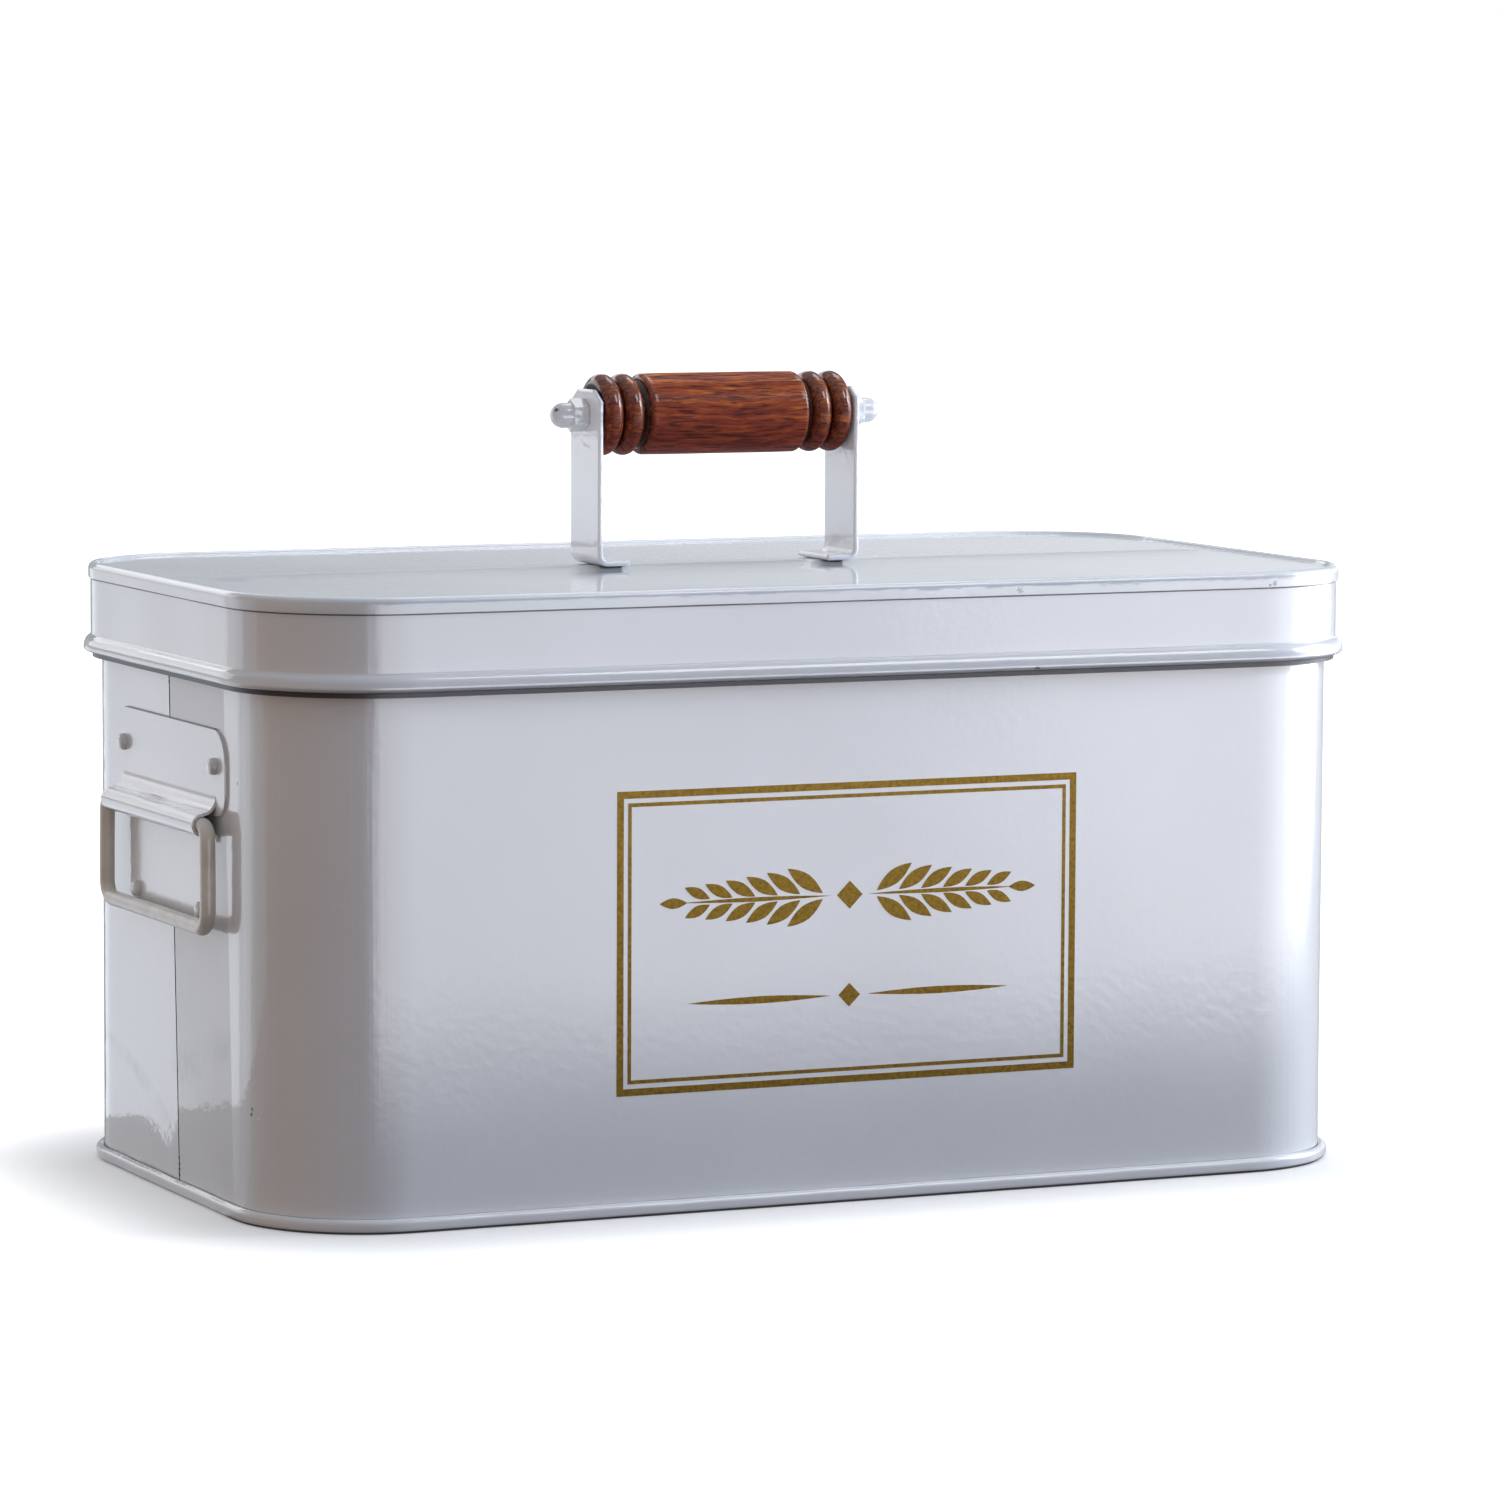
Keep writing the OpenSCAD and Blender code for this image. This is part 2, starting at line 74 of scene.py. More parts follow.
def gloss_enamel(name, tint, marks=(), dust=0.0, seam=False, shade_bands=(), smears=(), haze=0.03):
    """Stoved gloss enamel on steel: a hard white skin whose peel and slow waves break up reflections.

    Marks are chips and grey spots of painted shade in dents (x, y, z, size, colour), shade bands are dark
    bands of painted shade (low, high, cover) and smears are rubs (start, end, width, shade), with places and
    sizes in mm.
    Haze is the roughness of the clear coat.
    """
    made = bpy.data.materials.new(name)
    made.use_nodes = True
    tree = made.node_tree
    paint = tree.nodes["Principled BSDF"]
    spots = add(tree, "TexCoord").outputs
    place, turned = spots["Object"], spots["Normal"]
    across = add(tree, "SeparateXYZ", {0: place}).outputs
    # thin and thick places in the coat, about 70 mm across, shift the white a little
    cloud = add(tree, "TexNoise", {"Vector": place, "Scale": 1 / (70 * mm), "Detail": 3}).outputs["Fac"]
    shift = add(tree, "MapRange", {0: cloud, 1: 0.3, 2: 0.7}).outputs[0]
    skin = add(tree, "Mix", {0: shift, 6: colour(tint[0]), 7: colour(tint[1])}, data_type="RGBA").outputs[2]
    if dust:
        # dust and lint about 5 mm apart on what faces up, the largest grains 0.9 mm across times the dust
        grain = add(tree, "TexVoronoi", {"Vector": place, "Scale": 1 / (5 * mm)})
        few = add(tree, "SeparateColor", {0: grain.outputs["Color"]}).outputs[0]
        near = add(tree, "Math", {0: few, 1: 0.09 * dust}, operation="MULTIPLY").outputs[0]
        lies = add(tree, "Math", {0: grain.outputs["Distance"], 1: near}, operation="LESS_THAN").outputs[0]
        up = add(tree, "SeparateXYZ", {0: add(tree, "NewGeometry").outputs["Normal"]}).outputs[2]
        level = add(tree, "Math", {0: up, 1: 0.9}, operation="GREATER_THAN").outputs[0]
        shown = add(tree, "Math", {0: lies, 1: level}, operation="MULTIPLY").outputs[0]
        skin = add(tree, "Mix", {0: shown, 6: skin, 7: colour("#FFFFFF")}, data_type="RGBA").outputs[2]
    # chips, the painted shade of dents, rubs and the seam's painted shade line lie on what faces away from
    # the middle of the tin
    middle = add(tree, "VectorMath", {0: place, 1: (0, 0, 80 * mm)}, operation="SUBTRACT").outputs[0]
    outer = add(tree, "VectorMath", {0: turned, 1: middle}, operation="DOT_PRODUCT").outputs["Value"]
    outer = add(tree, "Math", {0: outer, 1: 0}, operation="GREATER_THAN").outputs[0]
    # each mark is a spot of its own colour: chips show the blackened steel, and grey spots are painted shade
    # in dents; outlines are broken by noise at 0.8 mm
    ragged = add(tree, "TexNoise", {"Vector": place, "Scale": 1 / (0.8 * mm), "Detail": 2}).outputs["Color"]
    torn = add(tree, "VectorMath", {0: ragged, 1: (0.5, 0.5, 0.5)}, operation="SUBTRACT").outputs[0]
    torn = add(tree, "VectorMath", {0: torn, "Scale": 1.6 * mm}, operation="SCALE").outputs[0]
    torn = add(tree, "VectorMath", {0: place, 1: torn}, operation="ADD").outputs[0]
    for x, y, z, size, dark in marks:
        spot = Vector((x, y, z)) * mm
        away = add(tree, "VectorMath", {0: torn, 1: spot}, operation="DISTANCE").outputs["Value"]
        mark_cover = add(tree, "MapRange", {0: away, 1: size * mm, 2: 0.6 * size * mm, 4: outer}).outputs[0]
        skin = add(tree, "Mix", {0: mark_cover, 6: skin, 7: colour(dark)}, data_type="RGBA").outputs[2]
    for start, end, width, shade in smears:
        # a mottled rub along a line, greyest in its middle
        start, run = Vector(start) * mm, (Vector(end) - Vector(start)) * mm
        gone = add(tree, "VectorMath", {0: place, 1: start}, operation="SUBTRACT").outputs[0]
        part = add(tree, "VectorMath", {0: gone, 1: run / run.length_squared}, operation="DOT_PRODUCT")
        part = add(tree, "Clamp", {0: part.outputs["Value"]}).outputs[0]
        foot = add(tree, "VectorMath", {0: run, "Scale": part}, operation="SCALE").outputs[0]
        off = add(tree, "VectorMath", {0: gone, 1: foot}, operation="DISTANCE").outputs["Value"]
        near = add(tree, "MapRange", {0: off, 1: width * mm, 2: 0.2 * width * mm}).outputs[0]
        blots = add(tree, "TexNoise", {"Vector": place, "Scale": 1 / (11 * mm), "Detail": 1}).outputs["Fac"]
        blots = add(tree, "MapRange", {0: blots, 1: 0.25, 2: 0.7, 4: shade}).outputs[0]
        rubbed = add(tree, "Math", {0: near, 1: blots}, operation="MULTIPLY").outputs[0]
        rubbed = add(tree, "Math", {0: rubbed, 1: outer}, operation="MULTIPLY").outputs[0]
        skin = add(tree, "Mix", {0: rubbed, 6: skin, 7: colour("#77706F")}, data_type="RGBA").outputs[2]
    if seam:
        # painted shade: a dark hairline in the gap where the lap's cut edge stands open, following its lean
        height = add(tree, "Math", {0: across[2], 1: seam_level}, operation="SUBTRACT").outputs[0]
        lean = {0: height, 1: -seam_lean, 2: across[1]}
        leant = add(tree, "Math", lean, operation="MULTIPLY_ADD").outputs[0]
        seam_shade_line = {0: leant, 1: seam_y - 0.25 * mm, 2: 0.3 * mm}
        off = add(tree, "Math", seam_shade_line, operation="COMPARE").outputs[0]
        left = add(tree, "Math", {0: across[0], 1: 5 * mm - half_length}, operation="LESS_THAN").outputs[0]
        left = add(tree, "Math", {0: left, 1: outer}, operation="MULTIPLY").outputs[0]
        line = add(tree, "Math", {0: off, 1: left}, operation="MULTIPLY").outputs[0]
        skin = add(tree, "Mix", {0: line, 6: skin, 7: colour("#3E3B3A")}, data_type="RGBA").outputs[2]
    clear = 1
    paint.inputs["Coat Weight"].default_value = clear
    for low, high, cover in shade_bands:
        # painted shade: dark matt bands under an overhanging edge, or where another sheet's edge closes on
        # this one, with the clear coat taken off there
        band = {0: across[2], 1: (low + high) / 2 * mm, 2: (high - low) / 2 * mm}
        in_shade_band = add(tree, "Math", band, operation="COMPARE").outputs[0]
        painted_shade = add(tree, "Math", {0: in_shade_band, 1: cover}, operation="MULTIPLY").outputs[0]
        skin = add(tree, "Mix", {0: painted_shade, 6: skin, 7: colour("#34323A")}, data_type="RGBA").outputs[2]
        clear = add(tree, "Math", {0: clear, 1: painted_shade}, operation="SUBTRACT").outputs[0]
        tree.links.new(clear, paint.inputs["Coat Weight"])
    tree.links.new(skin, paint.inputs["Base Color"])
    paint.inputs["Roughness"].default_value = 0.4
    paint.inputs["Specular IOR Level"].default_value = 0.25
    paint.inputs["Coat Roughness"].default_value = haze
    # orange peel 2.5 mm across, flutes up the bent corners 3 mm apart, and slow waves 50 mm long
    peel = add(tree, "TexNoise", {"Vector": place, "Scale": 1 / (2.5 * mm), "Detail": 1}).outputs["Fac"]
    upright = (1 / (3 * mm), 1 / (3 * mm), 1 / (150 * mm))
    drawn = add(tree, "Mapping", {"Vector": place, "Scale": upright}).outputs[0]
    lines = add(tree, "TexNoise", {"Vector": drawn, "Scale": 1, "Detail": 3}).outputs["Fac"]
    lines = add(tree, "Math", {0: lines, 1: 0.5}, operation="SUBTRACT").outputs[0]
    facing = add(tree, "SeparateXYZ", {0: turned}).outputs
    bent = add(tree, "Math", {0: facing[0], 1: facing[1]}, operation="MULTIPLY").outputs[0]
    bent = add(tree, "Math", {0: bent}, operation="ABSOLUTE").outputs[0]
    bent = add(tree, "MapRange", {0: bent, 1: 0.0, 2: 0.25}).outputs[0]
    lines = add(tree, "Math", {0: lines, 1: bent}, operation="MULTIPLY").outputs[0]
    waves = add(tree, "TexNoise", {"Vector": place, "Scale": 1 / (50 * mm), "Detail": 0}).outputs["Fac"]
    relief = add(tree, "Bump", {"Height": waves, "Distance": 0.5 * mm, "Strength": 0.5}).outputs[0]
    if seam:
        # the end falls away from flat by 3 degrees between the lap and the front corner
        spring = add(tree, "MapRange", {0: leant, 1: seam_y - 43 * mm, 2: seam_y, 3: -43, 4: 0}).outputs[0]
        spring = add(tree, "Math", {0: spring, 1: left}, operation="MULTIPLY").outputs[0]
        relief = add(tree, "Bump", {"Height": spring, "Distance": 0.06 * mm, "Normal": relief}).outputs[0]
    for height, deep in ((lines, 0.2), (peel, 0.08)):
        bump = {"Height": height, "Distance": deep * mm, "Strength": 0.5, "Normal": relief}
        relief = add(tree, "Bump", bump).outputs[0]
    tree.links.new(relief, paint.inputs["Normal"])
    tree.links.new(relief, paint.inputs["Coat Normal"])
    return made


def arc(out, height, radius, first, last, steps=8):
    """Points round part of a circle, in mm, from the first angle to the last."""
    turns = [math.radians(first + (last - first) * i / steps) for i in range(steps + 1)]
    return [(out + radius * math.cos(t), height + radius * math.sin(t)) for t in turns]


def draw(made, points):
    """Joins points in a row with edges, ready for a spin to carry."""
    row = [made.verts.new(point) for point in points]
    return row + [made.edges.new(pair) for pair in zip(row, row[1:])]


def carry_round(line, lapped=False):
    """A section line, in mm out from the wall's face and up, carried once round the tin from its seam."""
    made = bmesh.new()
    start = seam_y + lap if lapped else seam_y
    tuck = 1.2 * sheet if lapped else 0
    ring = draw(made, [(tuck - half_length - out * mm, start, height * mm) for out, height in line])
    joggle = 0.7 * mm if lapped else 0
    flat_x, flat_y = half_length - corner, half_depth - corner
    if lapped:
        for step in ((0, -lap, 0), (-tuck, -joggle, 0)):
            ring = bmesh.ops.spin(made, geom=ring, axis=(0, 0, 1), dvec=step, steps=1)["geom_last"]
    runs = [((0, -1, 0), flat_y + seam_y - joggle), ((1, 0, 0), 2 * flat_x), ((0, 1, 0), 2 * flat_y),
            ((-1, 0, 0), 2 * flat_x), ((0, -1, 0), flat_y - seam_y)]
    centres = [(-1, -1), (1, -1), (1, 1), (-1, 1)]
    for number, (way, length) in enumerate(runs):
        # rows 3 mm apart on the end with the seam and 6 mm apart elsewhere
        steps = round(length / ((3 if number in (0, 4) else 6) * mm))
        ring = bmesh.ops.spin(made, geom=ring, axis=(0, 0, 1), dvec=Vector(way) * length / steps,
                              steps=steps)["geom_last"]
        if number < 4:
            pivot = (centres[number][0] * flat_x, centres[number][1] * flat_y, 0)
            ring = bmesh.ops.spin(made, geom=ring, cent=pivot, axis=(0, 0, 1), angle=math.radians(90),
                                  steps=24)["geom_last"]
    bmesh.ops.remove_doubles(made, verts=made.verts, dist=0.01 * mm)
    return made


def thicken(made, wall, curled=False):
    """Gives a skin its metal on the inner side, which is outermost where an edge is curled outwards."""
    bmesh.ops.recalc_face_normals(made, faces=made.faces)
    if curled:
        bmesh.ops.reverse_faces(made, faces=made.faces)
    bmesh.ops.solidify(made, geom=made.faces, thickness=wall)


def settle(made, name, finish, slot, body, *nodes, sharp=38):
    """Turns a bmesh into a smooth piece with its finish, riding on a body in place of CAD nodes."""
    mesh = bpy.data.meshes.new(name)
    made.to_mesh(mesh)
    made.free()
    mesh.shade_smooth()
    mesh.set_sharp_from_angle(angle=math.radians(sharp))
    mesh.materials.append(finish)
    piece = bpy.data.objects.new(name, mesh)
    bpy.context.scene.collection.objects.link(piece)
    level = piece.modifiers.new("level_faces", "WEIGHTED_NORMAL")
    level.keep_sharp = True
    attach(piece, body)
    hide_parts(*nodes)


white = ("#E9EAEC", "#E2E3E5")
wall_marks = [(-160, -4.5, 9.6, 0.8, "#1C1917"), (-160, -4.6, 8.1, 0.8, "#171412"),
              (-160, -4.6, 6.6, 0.8, "#14110F"), (-160, -4.7, 5.2, 0.9, "#1C1917"),
              (-160, 1.9, 138.2, 0.8, "#2A2623"), (-160, 2.0, 139.6, 0.9, "#26221F"),
              (-160, 2.1, 141, 0.9, "#26221F"), (-160, -51.1, 115.8, 0.7, "#3A3532"),
              (-159.2, -58.6, 29.2, 0.6, "#4B4642"), (-159.1, -59, 30.6, 0.7, "#4B4642"),
              (-158.4, -62, 28.2, 0.5, "#FFFFFF")]
wall_smears = [((-158, 62, 38), (-160, 30, 29), 3, 0.4), ((-160, 30, 29), (-160, 4, 19), 3.5, 0.4),
               ((-160, -4, 35), (-160, -44, 45), 7, 0.22), ((-160, -44, 45), (-157, -60, 41), 6, 0.15)]
# painted shade: a faint dark band on the wall where the base rim's top edge closes on it
wall_enamel = gloss_enamel("gloss_white_enamel_wall", white, wall_marks, seam=True, smears=wall_smears,
                           shade_bands=[(2, 4.0, 0.35)])
wall_line = [(1.66, 1.1), (0.3, 1.1), (0, 1.4)] + [(0, 1.4 + 2.7 * i) for i in range(1, 60)]
wall_line += arc(0.9, 163.5, 0.9, 180, -90, 14)
made = carry_round(wall_line, lapped=True)
for v in made.verts:
    if v.co.x < 1 * mm - half_length:
        # the seam leans towards the back as it rises, and the lean dies out 45 mm to each side
        beside = v.co.y - seam_y
        v.co.y += seam_lean * (v.co.z - seam_level) * max(0, 1 - abs(beside) / (45 * mm))
thicken(made, sheet, curled=True)
settle(made, "tin_wall", wall_enamel, "white_enamel", "tin", "body_wall")


# Base pan: a pressed steel plate with a raised field, its edge doubled down and rolled back up round the
# wall's foot. The rolled rim carries the tin and is a little uneven where the roller worked it over.
field_edge = -27
base_line = [(field_edge, 4.5), (-25, 4.5), (-24, 3.6), (-22, 3.5), (-2.6, 3.5), (-1.6, 3.4), (-1.1, 2.9),
             (-1.1, 0.4), (-0.7, 0)]
base_line += arc(0.76, 1.5, 1.5, -90, 0, 6) + arc(0.76, 2.5, 1.5, 0, 82, 6) + [(0.5, 3.75), (0.15, 3.55)]


def lid_over(made, out):
    """Closes a carried section across the tin with one flat sheet, from its innermost row."""
    reach = half_length + (out + 0.01) * mm
    rim = [e for e in made.edges if e.is_boundary and all(abs(v.co.x) < reach for v in e.verts)]
    deep = half_depth + (out + 0.01) * mm
    rim = [e for e in rim if all(abs(v.co.y) < deep for v in e.verts)]
    bmesh.ops.contextual_create(made, geom=rim)


def outwards(spot):
    """How far a place stands out from the wall's face, and the level way that leads out there."""
    halves = (half_length, half_depth)
    over = [math.copysign(max(abs(c) - half + corner, 0), c) for c, half in zip(spot, halves)]
    way = Vector((*over, 0))
    return way.length - corner, way.normalized()


def work_over(made, size, depth):
    """Leaves a rolled edge uneven, in and out and up and down, by a depth and in patches of a size, in mm."""
    for v in made.verts:
        out, way = outwards(v.co)
        if out > 0.3 * mm:
            patch = Vector((v.co.x, v.co.y, 0)) / (size * mm)
            v.co += way * depth * mm * noise.noise(patch)
            # what the tin stands on stays level
            v.co.z += 0.6 * depth * mm * noise.noise(patch + Vector((7, 3, 1))) * (v.co.z > 1.5 * mm)


made = carry_round(base_line)
lid_over(made, field_edge)
work_over(made, 14, 0.2)
thicken(made, sheet)
# painted shade: the lowest 0.8 mm of the rolled rim is darkened where it meets the floor
base_enamel = gloss_enamel("gloss_white_enamel_base", white, shade_bands=[(-0.2, 0.8, 0.8)])
settle(made, "tin_base", base_enamel, "white_enamel", "tin", "base_pan")


# Bail plates: a 0.8 mm steel plate on each end, its middle rolled into a knuckle round the wire, with a
# wide riveted field above and a narrower riveted tongue below. It is painted over with the tin.
plate = 0.8
pivot_z = 103.4
knuckle_half = 36.7
knuckle_line = [(plate - 0.02, pivot_z + 9.5)]
knuckle_line += [(out, pivot_z + 8.2 + 1.36 * up) for out, up in arc(4.4, 0, 3.6, 180, 270, 14)]
knuckle_line += arc(4.5, pivot_z, 3.1, 88, -90, 18) + [(1.9, pivot_z - 3.1)]
knuckle_line += arc(1.6, pivot_z - 3.9, 0.8, 90, 180, 5) + [(plate, pivot_z - 4.6)]


def rounded_plate(side, half, low, high, low_round, high_round):
    """A flat plate against the end wall, in mm: half its width, its lower and upper edges, and the rounding
    of its lower and upper corners. Its outer edges are eased."""
    made = bmesh.new()
    bmesh.ops.create_grid(made, x_segments=1, y_segments=1, size=0.5)
    turn = Matrix.Rotation(math.radians(90), 4, "Z") @ Matrix.Rotation(math.radians(90), 4, "X")
    bmesh.ops.transform(made, matrix=turn, verts=made.verts)
    bmesh.ops.scale(made, vec=(1, 2 * half * mm, (high - low) * mm), verts=made.verts)
    middle = (low + high) / 2 * mm
    bmesh.ops.translate(made, vec=(0, 0, middle), verts=made.verts)
    for group, size in (([v for v in made.verts if v.co.z < middle], low_round),
                        ([v for v in made.verts if v.co.z > middle], high_round)):
        if size:
            bmesh.ops.bevel(made, geom=group, offset=size * mm, affect="VERTICES", segments=10, profile=0.5,
                            material=-1)
    outline = made.faces[:]
    raised = bmesh.ops.extrude_face_region(made, geom=outline)["geom"]
    lifted = [v for v in raised if isinstance(v, bmesh.types.BMVert)]
    bmesh.ops.translate(made, vec=(side * plate * mm, 0, 0), verts=lifted)
    bmesh.ops.translate(made, vec=(side * half_length, 0, 0), verts=made.verts)
    face = [e for e in made.edges if all(abs(abs(v.co.x) - half_length - plate * mm) < 1e-6 for v in e.verts)]
    bmesh.ops.bevel(made, geom=face, offset=0.25 * mm, affect="EDGES", segments=2, profile=0.5, material=-1)
    bmesh.ops.recalc_face_normals(made, faces=made.faces)
    return made


def join(*parts):
    """Puts several bmeshes into the first one."""
    whole = parts[0]
    for part in parts[1:]:
        spare = bpy.data.meshes.new("spare")
        part.to_mesh(spare)
        part.free()
        whole.from_mesh(spare)
        bpy.data.meshes.remove(spare)
    return whole


# painted shade: a dark band along the top edge of each plate's field
plate_enamel = gloss_enamel("gloss_white_enamel_plate", white, shade_bands=[(128.5, 129, 0.8)], haze=0.14)
for side, name in ((-1, "left"), (1, "right")):
    made = bmesh.new()
    ring = draw(made, [(side * (half_length + out * mm), -knuckle_half * mm, height * mm)
                       for out, height in knuckle_line])
    bmesh.ops.spin(made, geom=ring, axis=(1, 0, 0), dvec=(0, 2 * knuckle_half / 12 * mm, 0), steps=12)
    thicken(made, plate * mm)
    field = rounded_plate(side, 43.5, 105.7, 128.8, 6, 9)
    tongue = rounded_plate(side, 30, 75.8, 99.6, 6, 0)
    seat = join(made, field, tongue)
    settle(seat, name + "_bail_seat", plate_enamel, "white_enamel", "tin", name + "_bail_plate")


# Rivets: four pan-headed steel rivets in each plate, two high in the field's corners and two low in the
# tongue, driven through the wall, clenched inside and painted over.
rivet_line = [(0, 2.75), (0.9, 2.7), (1.5, 2.55), (1.95, 2.3), (2.2, 1.95), (2.3, 1.5), (2.3, 0.8),
              (1.5, 0.8), (1.5, -0.5), (2.2, -0.5), (2.3, -0.7), (2.2, -1.1), (1.8, -1.35), (0, -1.4)]
rivet_places = [(-36, 118.9), (36, 118.9), (-25.5, 79.6), (25.5, 79.6)]
for side, name in ((-1, "left"), (1, "right")):
    rivets = []
    for y, z in rivet_places:
        made = bmesh.new()
        ring = draw(made, [(side * (half_length + out * mm), y * mm, (z + away) * mm)
                           for away, out in rivet_line])
        bmesh.ops.spin(made, geom=ring, cent=(0, y * mm, z * mm), axis=(1, 0, 0), angle=math.radians(360),
                       steps=20, use_merge=True)
        bmesh.ops.remove_doubles(made, verts=made.verts, dist=0.005 * mm)
        bmesh.ops.recalc_face_normals(made, faces=made.faces)
        rivets.append(made)
    settle(join(*rivets), name + "_rivet_heads", plate_enamel, "white_enamel", "tin", name + "_rivets")


# Bails: a drop handle on each end, bent from 4 mm steel wire into a closed rectangle whose top bar turns
# in the knuckle. The stoved beige paint, 0.1 mm thick, is duller than the tin's and a little mottled.
wire = 2.1 * mm
leg_y = 40.5 * mm
bar_low = 76.1 * mm
wire_off = 4.5 * mm


def dull_paint(name):
    """Stoved paint on wire: satin, mottled in patches 9 mm across, with a faint grain."""
    made = bpy.data.materials.new(name)
    made.use_nodes = True
    tree = made.node_tree
    paint = tree.nodes["Principled BSDF"]
    place = add(tree, "TexCoord").outputs["Object"]
    cloud = add(tree, "TexNoise", {"Vector": place, "Scale": 1 / (9 * mm), "Detail": 4}).outputs["Fac"]
    shift = add(tree, "MapRange", {0: cloud, 1: 0.35, 2: 0.7}).outputs[0]
    tones = {0: shift, 6: colour("#ECE8E0"), 7: colour("#DAD4C9")}
    skin = add(tree, "Mix", tones, data_type="RGBA").outputs[2]
    tree.links.new(skin, paint.inputs["Base Color"])
    paint.inputs["Roughness"].default_value = 0.35
    paint.inputs["Coat Weight"].default_value = 0.2
    paint.inputs["Coat Roughness"].default_value = 0.25
    grain = add(tree, "TexNoise", {"Vector": place, "Scale": 1 / (0.9 * mm), "Detail": 2}).outputs["Fac"]
    relief = add(tree, "Bump", {"Height": grain, "Distance": 0.04 * mm, "Strength": 0.5}).outputs[0]
    tree.links.new(relief, paint.inputs["Normal"])
    return made


bail_paint = dull_paint("satin_beige_wire_paint")
for side, name in ((-1, "left"), (1, "right")):
    made = bmesh.new()
    ring = bmesh.ops.create_circle(made, segments=20, radius=wire)["verts"]
    bmesh.ops.rotate(made, cent=(0, 0, 0), matrix=Matrix.Rotation(math.radians(90), 3, "X"), verts=ring)
    x = side * (half_length + wire_off)
    bmesh.ops.translate(made, vec=(x, 0, pivot_z * mm), verts=ring)
    ring = made.verts[:] + made.edges[:]
    # the upper bends are tighter than the lower ones
    high, low = 3.5 * mm, 5 * mm
    drop = pivot_z * mm - bar_low - high - low
    bends = [((0, leg_y - high, 0), (leg_y - high, pivot_z * mm - high)),
             ((0, 0, -drop), (leg_y - low, bar_low + low)),
             ((0, -2 * (leg_y - low), 0), (low - leg_y, bar_low + low)),
             ((0, 0, drop), (high - leg_y, pivot_z * mm - high)),
             ((0, leg_y - high, 0), None)]
    for run, bend in bends:
        ring = bmesh.ops.spin(made, geom=ring, axis=(1, 0, 0), dvec=Vector(run) / 8, steps=8)["geom_last"]
        if bend:
            ring = bmesh.ops.spin(made, geom=ring, cent=(x, *bend), axis=(1, 0, 0), angle=math.radians(-90),
                                  steps=10)["geom_last"]
    bmesh.ops.remove_doubles(made, verts=made.verts, dist=0.01 * mm)
    bmesh.ops.recalc_face_normals(made, faces=made.faces)
    for v in made.verts:
        # the wire isn't quite straight
        v.co.x += 0.25 * mm * noise.noise(Vector((0, v.co.y, v.co.z)) / (22 * mm) + Vector((side, 0, 0)))
    settle(made, name + "_bail_wire", bail_paint, "bail_paint", name + "_bail", name + "_bail")


# Lid skirt: a strip of the same sheet bent to slide over the body, with a bead rolled above its lower edge
# to stiffen it. The cut edge hangs 1.4 mm below the bead and is darkened all round as a painted shadow under
# the bead. The top edge is held in the fold of the lid panel.
skirt_out = 3.15
bead_z = 142.95
bead = 2.15
skirt_line = [(skirt_out, 164.9 - 3.4 * i) for i in range(5)] + [(skirt_out, 147.5)]
skirt_line += arc(3.85, 146.9, 0.7, 180, 235, 5)
skirt_line += [(out, bead_z + 1.6 * up) for out, up in arc(3.0, 0, bead, 76, 0, 9)]
skirt_line += [(out, bead_z + 0.54 * up) for out, up in arc(3.0, 0, bead, -14, -86, 6)]
skirt_line += [(2.75, 141.7), (2.65, 141.5), (2.65, 140.4)]
made = carry_round(skirt_line)
work_over(made, 26, 0.12)
thicken(made, sheet)
skirt_marks = [(54.1, -91.9, 141.8, 1.3, "#8E8A86"), (-160, -3.2, 146, 0.6, "#3A3532")]
# painted shade: dark bands just under the lid panel's fold and on the cut edge under the bead
skirt_enamel = gloss_enamel("gloss_white_enamel_skirt", white, skirt_marks,
                            shade_bands=[(161.85, 162.6, 0.85), (140, 141.85, 0.95)])
settle(made, "lid_band", skirt_enamel, "white_enamel", "lid", "lid_skirt")


# Lid panel: a pressed sheet whose edge rises over a half-round fold and is turned down on the skirt. A low
# flat-topped ridge along the middle stiffens it. The fold is dented in two places along the front, and the
# dents are drawn as grey spots of painted shade.
panel_edge = -3.5
panel_level = 165.7
fold_line = [(panel_edge, panel_level), (-0.6, panel_level)] + arc(0.5, 166.2, 0.5, 270, 322, 4)
fold_line += arc(2.15, 164.9, 1.6, 142, 0, 14) + [(3.75, 163.9), (3.75, 162.9), (3.7, 162.3)]
made = carry_round(fold_line)
lid_over(made, panel_edge)
work_over(made, 30, 0.1)
ridge_reach = half_length - 10 * mm
ridge_half = 13 * mm
ridge_flat = 5 * mm
ridge_end = ridge_reach - 8 * mm
ridge_rise = 1 * mm
cuts = [((0, y, 0), (0, 1, 0)) for y in (ridge_half, -ridge_half, ridge_flat, -ridge_flat)]
cuts += [((x, 0, 0), (1, 0, 0)) for x in (ridge_reach, -ridge_reach, ridge_end, -ridge_end)]
for spot, way in cuts:
    level = [f for f in made.faces if abs(f.normal.z) > 0.999 and f.calc_area() > 1e-5]
    parts = level + list({e for f in level for e in f.edges}) + list({v for f in level for v in f.verts})
    bmesh.ops.bisect_plane(made, geom=parts, plane_co=spot, plane_no=way, dist=1e-6)
    made.normal_update()
for v in made.verts:
    on_top = abs(v.co.y) < ridge_flat + 1e-5 and abs(v.co.x) < ridge_end + 1e-5
    if on_top and v.co.z > (panel_level - 0.1) * mm:
        v.co.z += ridge_rise
creases = [e for e in made.edges if len(e.link_faces) == 2 and 0.05 < e.calc_face_angle() < 0.2
           and all(f.normal.z ** 2 > 0.97 and f.calc_area() > 1e-5 for f in e.link_faces)]
